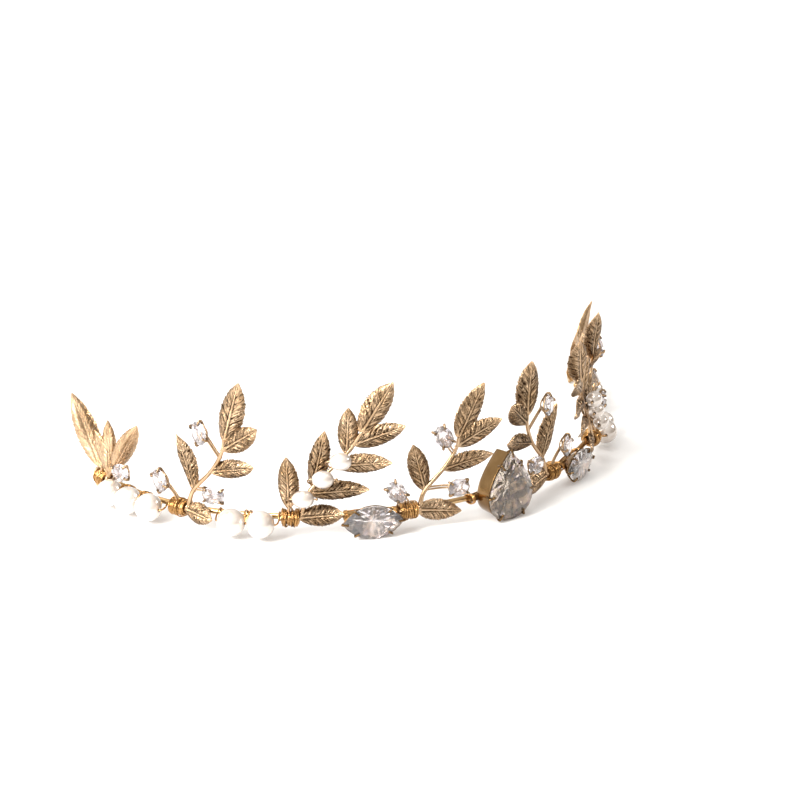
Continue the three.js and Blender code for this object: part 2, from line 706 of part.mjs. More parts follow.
// The origin is under the middle of the tiara, on the surface that it stands on.
const bounds = new THREE.Box3().setFromObject(group);
const middle = bounds.getCenter(new THREE.Vector3());
group.position.set(-middle.x, -middle.y, -bounds.min.z);

export default group;
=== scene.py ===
"""A bridal tiara: a bent gold wire with veined leaf sprays, set stones and wired pearls.

Every piece stands in for one node of the frame, except for the foils behind the three large stones,
which no node stands for. Lengths are millimetres from the point on the ground below the middle of the
base wire; SHIFT takes them to the frame's own origin at the end.
"""
import json
import math
import random

import bpy
import numpy as np
from mathutils import Matrix, Vector

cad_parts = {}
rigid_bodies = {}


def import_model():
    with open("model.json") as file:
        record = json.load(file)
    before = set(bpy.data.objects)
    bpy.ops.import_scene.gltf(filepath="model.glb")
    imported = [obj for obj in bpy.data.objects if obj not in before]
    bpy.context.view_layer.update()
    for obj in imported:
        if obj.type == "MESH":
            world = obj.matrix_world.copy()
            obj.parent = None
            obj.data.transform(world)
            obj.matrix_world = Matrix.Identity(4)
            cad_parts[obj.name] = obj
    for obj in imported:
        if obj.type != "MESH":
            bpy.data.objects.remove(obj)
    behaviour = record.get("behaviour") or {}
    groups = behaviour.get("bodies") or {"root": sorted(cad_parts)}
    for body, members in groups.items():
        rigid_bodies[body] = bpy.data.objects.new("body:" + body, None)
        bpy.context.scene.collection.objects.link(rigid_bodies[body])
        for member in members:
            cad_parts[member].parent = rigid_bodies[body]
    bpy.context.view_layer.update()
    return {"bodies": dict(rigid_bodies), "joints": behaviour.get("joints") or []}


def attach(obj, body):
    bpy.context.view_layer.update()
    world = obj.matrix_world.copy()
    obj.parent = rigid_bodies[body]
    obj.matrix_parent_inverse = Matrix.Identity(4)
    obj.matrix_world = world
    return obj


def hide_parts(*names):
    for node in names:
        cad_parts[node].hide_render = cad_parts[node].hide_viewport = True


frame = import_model()

MM = 0.001

# ---- driving dimensions, as in the frame ----

WIRE_RADIUS = 0.75
WIRE_HEIGHT = 5.2
FRONT_RADIUS = 85.0
ARM_RADIUS = {"left": 59.0, "right": 1000.0}
WIRE_BENDS = {
    "left": [(55.0, FRONT_RADIUS), (62.0, ARM_RADIUS["left"])],
    "right": [(53.9, FRONT_RADIUS), (3.0, 12.0), (60.1, ARM_RADIUS["right"])],
}
WIRE_END = 117.0
EYELET_RADIUS = 2.95
EYELET_HOLE = 1.6
EYELET_HALF_DEPTH = 0.58

# Places along the base wire, measured from the centre.
PLACES = {
    "left": dict(
        front=25.0, marquise=34.6, middle=54.0, pearl_pair=60.7,
        side=82.3, pearl_triple=89.2, end=110.8,
    ),
    "right": dict(
        front=21.5, marquise=32.0, middle=51.4, pearl_pair=58.2,
        side=79.8, pearl_triple=86.7, end=109.5,
    ),
}

PEARL_RADIUS = 3.5
PEARL_PITCH = 7.3
PEARL_HEIGHT = 4.6
PEARL_OFFSET = 4.2
STEM_PEARL_RADIUS = 2.2
STEM_PEARL_HALF_LENGTH = 2.7

STEM_RADIUS = 0.7
TWIG_RADIUS = 0.26
FINE_WIRE_RADIUS = 0.22
WIRE_GAP = 0.2
TAIL_OUT = WIRE_RADIUS + WIRE_GAP + STEM_RADIUS
BAR_RADIUS = 0.42
BAR_OUT = WIRE_RADIUS + WIRE_GAP + 0.45

# Each spray was bent by hand: how far its top bows towards the centre, how much taller it stands
# than its pattern, and the angle by which its upright leaves are turned about their stalks.
SPRAY_HEIGHT = 33.0
SPRAY_BEND = {
    "left_front": (2.8, 0.95, 0.0),
    "right_front": (-5.6, 1.02, 0.45),
    "left_middle": (0.0, 1.0, 0.0),
    "right_middle": (0.0, 1.0, 0.6),
    "left_side": (1.0, 1.06, 0.0),
    "right_side": (-2.0, 1.0, 0.8),
}

PEAR = dict(kind="pear", width=7.0, height=9.0, crown=1.5, pavilion=3.2)
MARQUISE = dict(kind="marquise", width=7.5, height=4.2, crown=1.0, pavilion=2.0)
OVAL = dict(kind="oval", width=2.3, height=3.0, crown=0.8, pavilion=1.5)


def wire_plan(distance):
    """Place and heading of the base wire at a distance from the centre: minus is left."""
    sign = math.copysign(1.0, distance)
    remaining = abs(distance)
    x = 0.0
    y = 0.0
    heading = 0.0
    for length, radius in WIRE_BENDS["left" if distance < 0 else "right"]:
        after = heading + min(remaining, length) / radius
        x += radius * (math.sin(after) - math.sin(heading))
        y += radius * (math.cos(heading) - math.cos(after))
        heading = after
        remaining = max(remaining - length, 0.0)
    return sign * x, y, sign * heading


def wire_tangent(distance):
    """The direction in which the base wire runs at a distance from the centre, towards the right."""
    heading = wire_plan(distance)[2]
    return np.array([math.cos(heading), math.sin(heading), 0.0])


def along_wire(distance, out=0.0, up=0.0):
    """A point beside the base wire: out from it and up from its centre line."""
    x, y, heading = wire_plan(distance)
    return np.array([x + out * math.sin(heading), y - out * math.cos(heading), WIRE_HEIGHT + up])


class Stand:
    """A place on the base wire, with axes towards the centre, up and outwards."""

    def __init__(self, side, distance, bow=0.0, height=1.0):
        self.bow = bow
        self.height = height
        self.toward_centre = 1.0 if side == "left" else -1.0
        signed = -distance if side == "left" else distance
        x, y, heading = wire_plan(signed)
        self.origin = np.array([x, y, WIRE_HEIGHT])
        self.inward = self.toward_centre * np.array([math.cos(heading), math.sin(heading), 0.0])
        self.out = np.array([math.sin(heading), -math.cos(heading), 0.0])
        self.up = np.array([0.0, 0.0, 1.0])

    def direction(self, inward, up, out=0.0):
        return inward * self.inward + up * self.up + out * self.out

    def at(self, inward, up, out=0.0):
        bowed = inward + self.bow * (up / SPRAY_HEIGHT) ** 2
        return self.origin + self.direction(bowed, up * self.height, out)


def frame_shift():
    """How far the frame's origin is from the middle of the base wire."""
    spins = {joint["child"]: joint["pos_m"] for joint in frame["joints"]}
    pearl = np.array(spins["left_band_pearl_1"]) / MM
    return pearl - along_wire(-PLACES["left"]["pearl_pair"], PEARL_OFFSET, PEARL_HEIGHT - WIRE_HEIGHT)


SHIFT = frame_shift()


def add_object(name, data):
    """A new object, linked to the scene."""
    thing = bpy.data.objects.new(name, data)
    bpy.context.scene.collection.objects.link(thing)
    return thing


# ---- mesh building ----


def unit(vector):
    vector = np.asarray(vector, float)
    return vector / np.linalg.norm(vector)


class Shape:
    """Vertices, faces and shading values of one piece while it is being made."""

    def __init__(self):
        self.points = []
        self.faces = []
        self.recess = []
        self.fibre = []
        self.count = 0

    def add(self, points, faces, recess=0.0, fibre=None):
        """Recess is how deep a point lies, 0 to 1; fibre is its place along and across the grain."""
        points = np.asarray(points, float)
        self.points.append(points)
        self.faces.extend([tuple(int(i) + self.count for i in face) for face in faces])
        self.recess.append(np.broadcast_to(recess, len(points)))
        self.fibre.append(points if fibre is None else fibre)
        self.count += len(points)

    def wire(self, path, radius, sides, recess, taper=None):
        """Adds a round wire along a path."""
        self.add(*tube(path, radius, sides, taper), recess=recess)

    def build(self, name, slot, replaces, material, body="root", flat=False):
        """Makes the Blender object and gives it its body, material and CAD nodes; the slot argument is
        not used.
        """
        points = (np.concatenate(self.points) + SHIFT) * MM
        mesh = bpy.data.meshes.new(name)
        mesh.from_pydata(points.tolist(), [], self.faces)
        mesh.validate()
        layer = mesh.attributes.new("recess", "FLOAT", "POINT")
        layer.data.foreach_set("value", np.concatenate(self.recess).astype(np.float32))
        layer = mesh.attributes.new("fibre", "FLOAT_VECTOR", "POINT")
        layer.data.foreach_set("vector", np.concatenate(self.fibre).astype(np.float32).ravel())
        mesh.polygons.foreach_set("use_smooth", [not flat] * len(mesh.polygons))
        mesh.materials.append(material)
        mesh.update()
        piece = add_object(name, mesh)
        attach(piece, body)
        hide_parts(*replaces)


def loop_faces(rings, sides):
    """Quads of a tube bent into a closed loop, whose points are stored ring by ring."""
    faces = []
    for k in range(rings):
        here = k * sides
        after = (k + 1) % rings * sides
        for side in range(sides):
            beside = (side + 1) % sides
            faces.append((here + side, here + beside, after + beside, after + side))
    return faces


def tube_faces(rings, sides):
    """Quads of a tube with open ends."""
    return loop_faces(rings, sides)[:(rings - 1) * sides]


def capped_faces(rings, sides):
    """Faces of a tube with a cap at each end."""
    last = (rings - 1) * sides
    caps = [tuple(range(sides - 1, -1, -1)), tuple(range(last, last + sides))]
    return tube_faces(rings, sides) + caps


def inside_out(faces):
    return [face[::-1] for face in faces]


def smooth_path(points, steps):
    """A Catmull-Rom path through points, with even steps along each stretch."""
    points = [np.asarray(point, float) for point in points]
    points = [2 * points[0] - points[1]] + points + [2 * points[-1] - points[-2]]
    path = []
    for k in range(1, len(points) - 2):
        before, start, end, after = points[k - 1:k + 3]
        for step in range(steps):
            t = step / steps
            path.append(0.5 * (
                2 * start + (end - before) * t
                + (2 * before - 5 * start + 4 * end - after) * t ** 2
                + (3 * start - before - 3 * end + after) * t ** 3
            ))
    path.append(points[-2])
    return np.array(path)


# Rings of a wire's domed end: how far they lie from its end ring (minus is beyond it), and how wide
# they are, in radii.
DOME = [(-0.6, 0.55), (-0.3, 0.87)]
# A direction that no wire runs along, from which the first ring of a wire is turned.
ODD_DIRECTION = [0.13, 0.31, 0.94]


def tube(path, radius, sides, taper=None):
    """A round wire along a path, with domed ends. Taper gives a radius factor along it."""
    path = np.asarray(path, float)
    tangents = np.gradient(path, axis=0)
    tangents /= np.linalg.norm(tangents, axis=1)[:, None]
    normal = unit(np.cross(tangents[0], ODD_DIRECTION))
    rings = []
    angles = np.linspace(0, 2 * math.pi, sides, endpoint=False)
    count = len(path)
    radii = np.full(count, radius) if taper is None else radius * np.asarray(taper, float)
    for i in range(count):
        normal = unit(normal - np.dot(normal, tangents[i]) * tangents[i])
        binormal = np.cross(tangents[i], normal)
        circle = np.outer(np.cos(angles), normal) + np.outer(np.sin(angles), binormal)
        along = tangents[i] * radii[i]
        across = circle * radii[i]
        if i == 0:
            rings += [path[i] + along * offset + across * share for offset, share in DOME]
        rings.append(path[i] + across)
        if i == count - 1:
            rings += [path[i] - along * offset + across * share for offset, share in reversed(DOME)]
    return np.concatenate(rings), capped_faces(len(rings), sides)


def ball(centre, radius, rings, sides):
    """A round bead."""
    points = []
    for i in range(1, rings):
        polar = math.pi * i / rings
        for k in range(sides):
            angle = 2 * math.pi * k / sides
            local = np.array([
                math.sin(polar) * math.cos(angle), math.sin(polar) * math.sin(angle), -math.cos(polar),
            ])
            points.append(centre + local * radius)
    bottom = len(points)
    points.append(centre + np.array([0, 0, -radius]))
    points.append(centre + np.array([0, 0, radius]))
    faces = tube_faces(rings - 1, sides)
    last = (rings - 2) * sides
    for k in range(sides):
        faces.append((bottom, (k + 1) % sides, k))
        faces.append((bottom + 1, last + k, last + (k + 1) % sides))
    return np.array(points), faces


# ---- leaves ----

LEAF_ROWS = 120
LEAF_COLUMNS = 35
LEAF_THICKNESS = 0.34
NECK_RADIUS = 0.36
VEINS = 16
VEIN_SLANT = 0.3
GROOVE_DEPTH = 0.2
MIDRIB_HEIGHT = 0.14


# Spans of the numbers in which one leaf differs from the next.
LEAF_TRAITS = dict(
    left=(-0.3, 0.3), right=(-0.3, 0.3), wild=(0.6, 1.2), fold=(0.2, 0.4), puff=(0.35, 0.8),
    curl=(0.1, 0.9), wave=(-1, 1), seed=(0, 40), stain=(0, 0.3),
)


def ease(value):
    """A smooth step from 0 to 1."""
    value = np.clip(value, 0, 1)
    return value * value * (3 - 2 * value)


def leaf_outline(t):
    """Half the width of a leaf, as a share of its widest, from its foot (0) to its tip (1)."""
    belly = np.sin(math.pi * np.clip(t, 0, 1) ** 0.9) ** 0.66
    return 0.09 * (1 - t) ** 2 + belly * (1 - 0.22 * ease((t - 0.8) / 0.2))


def groove(distance, width):
    """Depth of a rounded groove, 0 to 1, at a distance from its middle."""
    return np.exp(-(distance / width) ** 2)


def leaf_surface(t, s, length, half_width, traits):
    """Sideways place, lift, recess and fibre of a leaf's face, for s from -1 to 1 across it."""
    across = np.abs(s)
    half = np.where(s < 0, traits["left"], traits["right"])
    slanted = t - VEIN_SLANT * across ** 0.8 * (1 - 0.5 * t)
    phase = VEINS * slanted + half
    phase = phase + 0.2 * np.sin(4.1 * phase + 3 * half + 2.6 * across) * traits["wild"]
    phase = phase + 0.12 * np.sin(1.9 * phase + 7 * half - 5 * across)
    tooth = phase % 1.0
    number = np.floor(phase)
    main = groove(tooth - 0.5, 0.2) * (0.75 + 0.25 * np.sin(3.1 * number + 5 * half))
    beside = np.minimum(tooth, 1 - tooth)
    reach = 0.35 + 0.3 * np.sin(2.7 * np.round(phase) + 11 * half)
    second = groove(beside, 0.13) * ease((across - reach) * 5)
    crossing = groove((across * 5.3 + 0.37 * number + half * 3) % 1.0 - 0.5, 0.16)
    crossing = 0.5 * crossing * (0.5 + 0.5 * np.sin(5.3 * number + 17 * half + 4 * across))
    cut = np.clip(main + 0.75 * second + crossing, 0, 1)
    edge = leaf_outline(t) * half_width
    toothed = np.clip(7 * (t - 0.1), 0, 1) * np.clip(9 * (1 - t), 0, 1)
    edge = edge * (1 + 0.14 * (tooth - 0.55) * toothed)
    fade = ease((t - 0.03) * 9) * ease((1.0 - t) * 10)
    midrib_width = 0.075 * (1 - 0.7 * t) + 0.012
    from_midrib = across * edge / (midrib_width * half_width + 1e-6)
    midrib = np.exp(-from_midrib ** 2)
    cut = cut * fade * np.clip(across * 9, 0, 1) * (1 - midrib)
    seam = groove(from_midrib - 1.9, 0.7) * fade * traits["relief"]
    cut = cut * traits["relief"]
    ripple = np.sin(2 * math.pi * (1.7 * t + half)) * np.sin(math.pi * across) * 0.12
    lift = -GROOVE_DEPTH * np.clip(cut + 0.6 * seam, 0, 1)
    lift += MIDRIB_HEIGHT * midrib * (1 - 0.7 * t) + ripple
    lift -= traits["fold"] * edge * across ** 1.25
    lift += traits["puff"] * edge * np.sin(math.pi * across) * 0.26
    wave = traits["wave"] * s * np.sin(2.4 * math.pi * t) * 0.22
    lift += traits["curl"] * t ** 2.2 * length * 0.1 + wave
    worn = ease((t - 0.62) / 0.38) + 0.6 * ease((across - 0.8) / 0.2)
    stain = traits["stain"] * (1 - np.clip(worn, 0, 1))
    recess = np.clip((cut + 0.7 * seam) * (1 - 0.45 * worn) + stain, 0, 1)
    patch = traits["seed"] + 3.0 * (s > 0)
    fibre = np.stack([phase, across * edge, patch], axis=-1)
    return s * edge, lift, recess, fibre


def add_leaf(shape, foot, tip, width, face, seed, relief=1.0):
    """One cast leaf: veined and toothed on both faces, folded along its midrib, on a short neck."""
    source = random.Random(seed)
    traits = {name: source.uniform(*span) for name, span in LEAF_TRAITS.items()}
    traits["stain"] *= relief
    traits["relief"] = relief
    foot = np.asarray(foot, float)
    tip = np.asarray(tip, float)
    length = np.linalg.norm(tip - foot)
    along = (tip - foot) / length
    across = unit(np.cross(face, along))
    normal = np.cross(along, across)
    t, s = np.meshgrid(np.linspace(0, 1, LEAF_ROWS), np.linspace(-1, 1, LEAF_COLUMNS), indexing="ij")
    sideways, lift, recess, fibre = leaf_surface(t, s, length, width / 2, traits)
    edge_round = 1 - np.abs(s) ** 6 * 0.75
    front = (
        foot + t[..., None] * length * along + sideways[..., None] * across
        + (lift + LEAF_THICKNESS / 2 * edge_round)[..., None] * normal
    )
    back = front - (LEAF_THICKNESS * edge_round + 0.5 * GROOVE_DEPTH * (1 - recess))[..., None] * normal
    loops = np.concatenate([front, back[:, ::-1]], axis=1)
    values = np.concatenate([recess, 0.8 * recess[:, ::-1]], axis=1)
    grain = np.concatenate([fibre, fibre[:, ::-1]], axis=1)
    faces = inside_out(capped_faces(LEAF_ROWS, 2 * LEAF_COLUMNS))
    shape.add(loops.reshape(-1, 3), faces, values.reshape(-1), grain.reshape(-1, 3))
    neck = smooth_path([
        foot - along * 0.5 - normal * 0.1, foot + along * 0.6, foot + along * 2.4 + normal * 0.08,
    ], 5)
    taper = np.interp(np.linspace(0, 1, len(neck)), [0, 0.5, 1], [1.1, 1.0, 0.35])
    shape.wire(neck, NECK_RADIUS, 8, 0.1, taper)


# ---- stones ----


class Seat:
    """Where a cut stone sits: its centre, and its axes sideways, upright and the way it faces."""

    def __init__(self, cut, centre, face, upright):
        self.cut = cut
        self.crown = cut["crown"]
        self.depth = cut["pavilion"]
        self.centre = centre
        z_axis = unit(face)
        x_axis = unit(np.cross(upright, z_axis))
        self.axes = np.array([x_axis, np.cross(z_axis, x_axis), z_axis])

    def place(self, local):
        return self.centre + np.asarray(local, float) @ self.axes

    def outline(self, angle):
        """A point of the stone's outline at an angle, in its own plane."""
        x = self.cut["width"] * math.cos(angle)
        y = self.cut["height"] * math.sin(angle)
        if self.cut["kind"] == "pear":
            x *= 1.31 * math.sqrt((1 - math.sin(angle)) / 2 + 0.008)
        if self.cut["kind"] == "marquise":
            y = self.cut["height"] * math.copysign(abs(math.sin(angle)) ** 1.6, math.sin(angle))
        return x, y

    def ring(self, share, height, count, half_step=0):
        """A closed row of points that follows the outline at a share of its size."""
        points = []
        for k in range(count):
            x, y = self.outline(2 * math.pi * (k + half_step) / count)
            points.append((x * share, y * share, height))
        return np.array(points)


# Half the height of a stone's girdle, and how far down the pavilion its belly lies.
GIRDLE = 0.14
BELLY = 0.62


def add_stone(shape, seat, mains):
    """A brilliant-cut stone: table, stars, kites, girdle and a pavilion down to a small culet."""
    points = np.concatenate([
        seat.ring(0.6, seat.crown, mains),
        seat.ring(0.79, GIRDLE + (seat.crown - GIRDLE) * 0.56, mains, 0.5),
        seat.ring(1.0, GIRDLE, 2 * mains),
        seat.ring(1.0, -GIRDLE, 2 * mains),
        seat.ring(0.5, -GIRDLE - (seat.depth - GIRDLE) * BELLY, mains, 0.5),
        [(0.0, 0.0, -seat.depth)],
    ])
    star_at = mains
    upper_at = 2 * mains
    lower_at = 4 * mains
    belly_at = 6 * mains
    culet_at = 7 * mains
    faces = [tuple(range(mains))]
    for k in range(mains):
        after = (k + 1) % mains
        before = (k - 1) % mains
        around = [2 * k, 2 * k + 1, (2 * k + 2) % (2 * mains)]
        u, v, w = [upper_at + step for step in around]
        l, m, n = [lower_at + step for step in around]
        faces += [
            (after, k, star_at + k),
            (k, star_at + before, u, star_at + k),
            (star_at + k, u, v),
            (star_at + k, v, w),
            (u, l, m, v),
            (v, m, n, w),
            (l, belly_at + k, m),
            (m, belly_at + k, n),
            (l, belly_at + before, culet_at, belly_at + k),
        ]
    shape.add(seat.place(points), faces)


def claw_path(seat, angle, margin, foot_share, foot_height):
    """Centre line of a claw, from its foot up the side of the stone and over its crown."""
    x, y = seat.outline(angle)
    reach = math.hypot(x, y)

    def at(share, push, height):
        grow = share + push / reach
        return (x * grow, y * grow, height)

    return [
        at(foot_share, 0, foot_height),
        at(0.93, margin, -seat.depth * 0.4),
        at(1.0, margin, 0.12),
        at(0.98, margin * 0.4, 0.3 + seat.crown * 0.14),
        at(0.86, 0.05, 0.3 + seat.crown * 0.36),
    ]


def add_claws(shape, seat, angles, radius, foot_share, foot_height):
    """Claws with rounded tips that hold a stone."""
    for angle in angles:
        local = claw_path(seat, angle, radius + 0.04, foot_share, foot_height)
        path = smooth_path([seat.place(point) for point in local], 6)
        taper = np.interp(np.linspace(0, 1, len(path)), [0, 0.5, 0.85, 1], [0.85, 1.0, 0.9, 1.05])
        shape.wire(path, radius, 8, 0.45, taper)
        shape.add(*ball(path[-1], radius * 1.15, 6, 8), recess=0.6)


def add_ring_wire(shape, seat, share, height, radius, count):
    """A fine wire ring that follows a stone's outline."""
    path = seat.ring(share, height, count)
    ahead = np.roll(path, -1, axis=0) - np.roll(path, 1, axis=0)
    outward = np.cross(ahead, [0, 0, 1.0])
    outward /= np.linalg.norm(outward, axis=1)[:, None]
    sides = 8
    points = []
    for k in range(count):
        for side in range(sides):
            angle = 2 * math.pi * side / sides
            offset = outward[k] * math.cos(angle) + np.array([0, 0, math.sin(angle)])
            points.append(path[k] + offset * radius)
    faces = [(a, d, c, b) for a, b, c, d in loop_faces(count, sides)]
    shape.add(seat.place(points), faces, recess=0.2)


SETTING_BACK = 0.45
BASE_RING_RADIUS = 0.2
GALLERY_RING_RADIUS = 0.19
SMALL_CLAW_RADIUS = 0.32
CUP_CLAW_RADIUS = 0.27
CUP_RIM = -0.62
CUP_RIM_WIRE_RADIUS = 0.16
CUP_STEPS = 96


def add_claw_setting(shape, seat):
    """Open setting of a small stone: base ring, gallery ring and four claws."""
    back = -seat.depth - SETTING_BACK
    add_ring_wire(shape, seat, 0.42, back, BASE_RING_RADIUS, 24)
    add_ring_wire(shape, seat, 0.86, -seat.depth * 0.42, GALLERY_RING_RADIUS, 36)
    angles = [math.pi * (0.27 + 0.46 * (k % 2) + (k // 2)) for k in range(4)]
    add_claws(shape, seat, angles, SMALL_CLAW_RADIUS, 0.4, back)


def add_cup(shape, seat, cup, claw_angles):
    """Smooth cup of a large stone: closed back, wall, rolled rim and claws."""
    depth, back_share = cup
    rim = CUP_RIM

    def wall(share):
        return back_share + (0.955 - back_share) * share, -depth + (depth + rim) * share

    profile = [
        (0.3, -depth), (back_share - 0.07, -depth), (back_share - 0.02, -depth + 0.06),
        (back_share, -depth + 0.22), wall(0.25), wall(0.5), wall(0.75), wall(0.94),
        (0.955, rim - 0.08), (0.945, rim), (0.915, rim - 0.05),
        (0.87, rim - 0.4), (0.5, -seat.depth - 0.1), (0.2, -seat.depth - 0.35),
    ]
    rings = [seat.ring(share, height, CUP_STEPS) for share, height in profile]
    shape.add(seat.place(np.concatenate(rings)), capped_faces(len(rings), CUP_STEPS))
    add_ring_wire(shape, seat, 0.965, rim - 0.12, CUP_RIM_WIRE_RADIUS, CUP_STEPS)
    add_claws(shape, seat, claw_angles, CUP_CLAW_RADIUS, 0.9, -seat.depth * 0.5)


def add_foil(shape, seat, mains):
    """A thin faceted bowl of foil between a large stone's pavilion and its cup."""
    depth = seat.depth
    middle = -GIRDLE - (depth - GIRDLE) * BELLY
    inner = [(0.06, -depth - 0.07), (0.5, middle - 0.1), (0.93, -0.5)]
    outer = [(0.93, -0.58), (0.5, middle - 0.18), (0.06, -depth - 0.15)]
    rings = [seat.ring(share, height, mains) for share, height in inner + outer]
    shape.add(seat.place(np.concatenate(rings)), inside_out(capped_faces(len(rings), mains)))


# ---- materials ----


def new_material(name):
    """A node material with its shader and output; returns it with its node tree and shader."""
    material = bpy.data.materials.new(name)
    material.use_nodes = True
    tree = material.node_tree
    tree.nodes.clear()
    output = tree.nodes.new("ShaderNodeOutputMaterial")
    shader = tree.nodes.new("ShaderNodeBsdfPrincipled")
    tree.links.new(shader.outputs["BSDF"], output.inputs["Surface"])
    return material, tree, shader


def noise(tree, scale, detail, vector=None, roughness=0.55, distortion=0.0):
    """Noise over the object's own coordinates, in metres, or over another vector."""
    if vector is None:
        vector = tree.nodes.new("ShaderNodeTexCoord").outputs["Object"]
    texture = tree.nodes.new("ShaderNodeTexNoise")
    texture.inputs["Scale"].default_value = scale
    texture.inputs["Detail"].default_value = detail
    texture.inputs["Roughness"].default_value = roughness
    texture.inputs["Distortion"].default_value = distortion
    tree.links.new(vector, texture.inputs["Vector"])
    return texture.outputs["Fac"]


def ramp(tree, value, stops):
    """A colour ramp over a value."""
    node = tree.nodes.new("ShaderNodeValToRGB")
    elements = node.color_ramp.elements
    while len(elements) < len(stops):
        elements.new(0.5)
    for element, (position, colour) in zip(elements, stops):
        element.position = position
        element.color = (*colour, 1.0)
    tree.links.new(value, node.inputs["Fac"])
    return node.outputs["Color"]


def math_node(tree, operation, first, second):
    """A Math node; each input is a socket or a number."""
    node = tree.nodes.new("ShaderNodeMath")
    node.operation = operation
    for socket, value in zip(node.inputs, (first, second)):
        if isinstance(value, (int, float)):
            socket.default_value = value
        else:
            tree.links.new(value, socket)
    return node.outputs["Value"]


def mix_colour(tree, factor, first, second):
    """A colour mix; factor and colours are sockets or constants."""
    node = tree.nodes.new("ShaderNodeMix")
    node.data_type = "RGBA"
    for socket_name, value in (("Factor", factor), ("A", first), ("B", second)):
        socket = node.inputs[socket_name]
        if isinstance(value, (int, float)):
            socket.default_value = value
        elif isinstance(value, tuple):
            socket.default_value = (*value, 1.0)
        else:
            tree.links.new(value, socket)
    return [output for output in node.outputs if output.type == "RGBA"][0]


def cloudy_gloss(tree, scale, detail, low, spread):
    """Roughness that rises from its lowest value by a spread, in small clouds."""
    clouds = math_node(tree, "MULTIPLY", noise(tree, scale, detail), spread)
    return math_node(tree, "ADD", clouds, low)


def attribute(tree, name, output="Fac"):
    node = tree.nodes.new("ShaderNodeAttribute")
    node.attribute_name = name
    return node.outputs[output]


def bump(tree, shader, height, strength, distance):
    node = tree.nodes.new("ShaderNodeBump")
    node.inputs["Strength"].default_value = strength
    node.inputs["Distance"].default_value = distance
    tree.links.new(height, node.inputs["Height"])
    tree.links.new(node.outputs["Normal"], shader.inputs["Normal"])


def fibres(tree, scale):
    """Noise stretched along a piece's own grain."""
    stretch = tree.nodes.new("ShaderNodeVectorMath")
    stretch.operation = "MULTIPLY"
    stretch.inputs[1].default_value = scale
    tree.links.new(attribute(tree, "fibre", "Vector"), stretch.inputs[0])
    return noise(tree, 1.0, 4.0, stretch.outputs["Vector"], 0.6, 0.3)


def gold_material(name, bright, middle, dark, patina, roughness, grain, relief):
    """Gold whose hollows hold a dark patina, with cloudy colour and a fine grain in its surface."""
    material, tree, shader = new_material(name)
    shader.inputs["Metallic"].default_value = 1.0
    cloud = noise(tree, 260.0, 3.0)
    base = ramp(tree, cloud, [(0.3, middle), (0.7, bright)])
    lines = fibres(tree, grain)
    sharp = ramp(tree, lines, [(0.36, (0.0, 0.0, 0.0)), (0.62, (1.0, 1.0, 1.0))])
    recess = attribute(tree, "recess")
    hollow = math_node(tree, "MULTIPLY", recess, math_node(tree, "SUBTRACT", 1.45, sharp))
    stain = math_node(tree, "MINIMUM", math_node(tree, "MULTIPLY", hollow, patina), 1.0)
    aged = mix_colour(tree, stain, base, dark)
    tree.links.new(aged, shader.inputs["Base Color"])
    low, high = roughness
    gloss = cloudy_gloss(tree, 900.0, 4.0, low, high - low)
    gloss = math_node(tree, "ADD", gloss, math_node(tree, "MULTIPLY", stain, 0.14))
    tree.links.new(gloss, shader.inputs["Roughness"])
    bump(tree, shader, lines, 0.8, relief)
    return material


def crystal_material(name, ior, clear, tints):
    """Cut glass with a slightly milky body in soft tints and a trace of polishing marks."""
    material, tree, shader = new_material(name)
    colour = ramp(tree, noise(tree, 480.0, 2.0), list(zip((0.38, 0.46, 0.54, 0.62), tints)))
    tree.links.new(colour, shader.inputs["Base Color"])
    shader.inputs["Transmission Weight"].default_value = clear
    shader.inputs["IOR"].default_value = ior
    gloss = math_node(tree, "MULTIPLY", noise(tree, 3000.0, 3.0), 0.05)
    tree.links.new(gloss, shader.inputs["Roughness"])
    return material


def foil_material(name):
    """Silvery foil, slightly creased and warm-tinted, which throws light back through a large stone;
    its near-black patches are painted shade for the stone's dark facets.
    """
    material, tree, shader = new_material(name)
    # Near-black patches among the silvery ones: painted shade that darkens some facets of the stone in
    # front.
    stops = [(0.44, (0.13, 0.11, 0.10)), (0.56, (0.92, 0.84, 0.76))]
    silver_and_painted_shade = ramp(tree, noise(tree, 420.0, 3.0), stops)
    tree.links.new(silver_and_painted_shade, shader.inputs["Base Color"])
    shader.inputs["Metallic"].default_value = 1.0
    gloss = cloudy_gloss(tree, 900.0, 2.0, 0.22, 0.2)
    tree.links.new(gloss, shader.inputs["Roughness"])
    bump(tree, shader, noise(tree, 500.0, 3.0), 0.12, 0.0001)
    return material


def pearl_material(name):
    """Nacre: a warm white body with soft cloudy tint, under a glossy coat."""
    material, tree, shader = new_material(name)
    stops = [(0.3, (0.56, 0.49, 0.43)), (0.7, (0.70, 0.64, 0.59))]
    body = ramp(tree, noise(tree, 220.0, 3.0), stops)
    tree.links.new(body, shader.inputs["Base Color"])
    shader.inputs["Metallic"].default_value = 0.45
    shader.inputs["Subsurface Weight"].default_value = 0.12
    shader.inputs["Subsurface Radius"].default_value = (1.0, 0.8, 0.6)
    shader.inputs["Subsurface Scale"].default_value = 0.0006
    shader.inputs["Coat Weight"].default_value = 1.0
    shader.inputs["Coat Roughness"].default_value = 0.07
    shader.inputs["Sheen Weight"].default_value = 0.15
    gloss = cloudy_gloss(tree, 800.0, 3.0, 0.16, 0.15)
    tree.links.new(gloss, shader.inputs["Roughness"])
    bump(tree, shader, noise(tree, 1100.0, 3.0), 0.12, 0.00005)
    return material


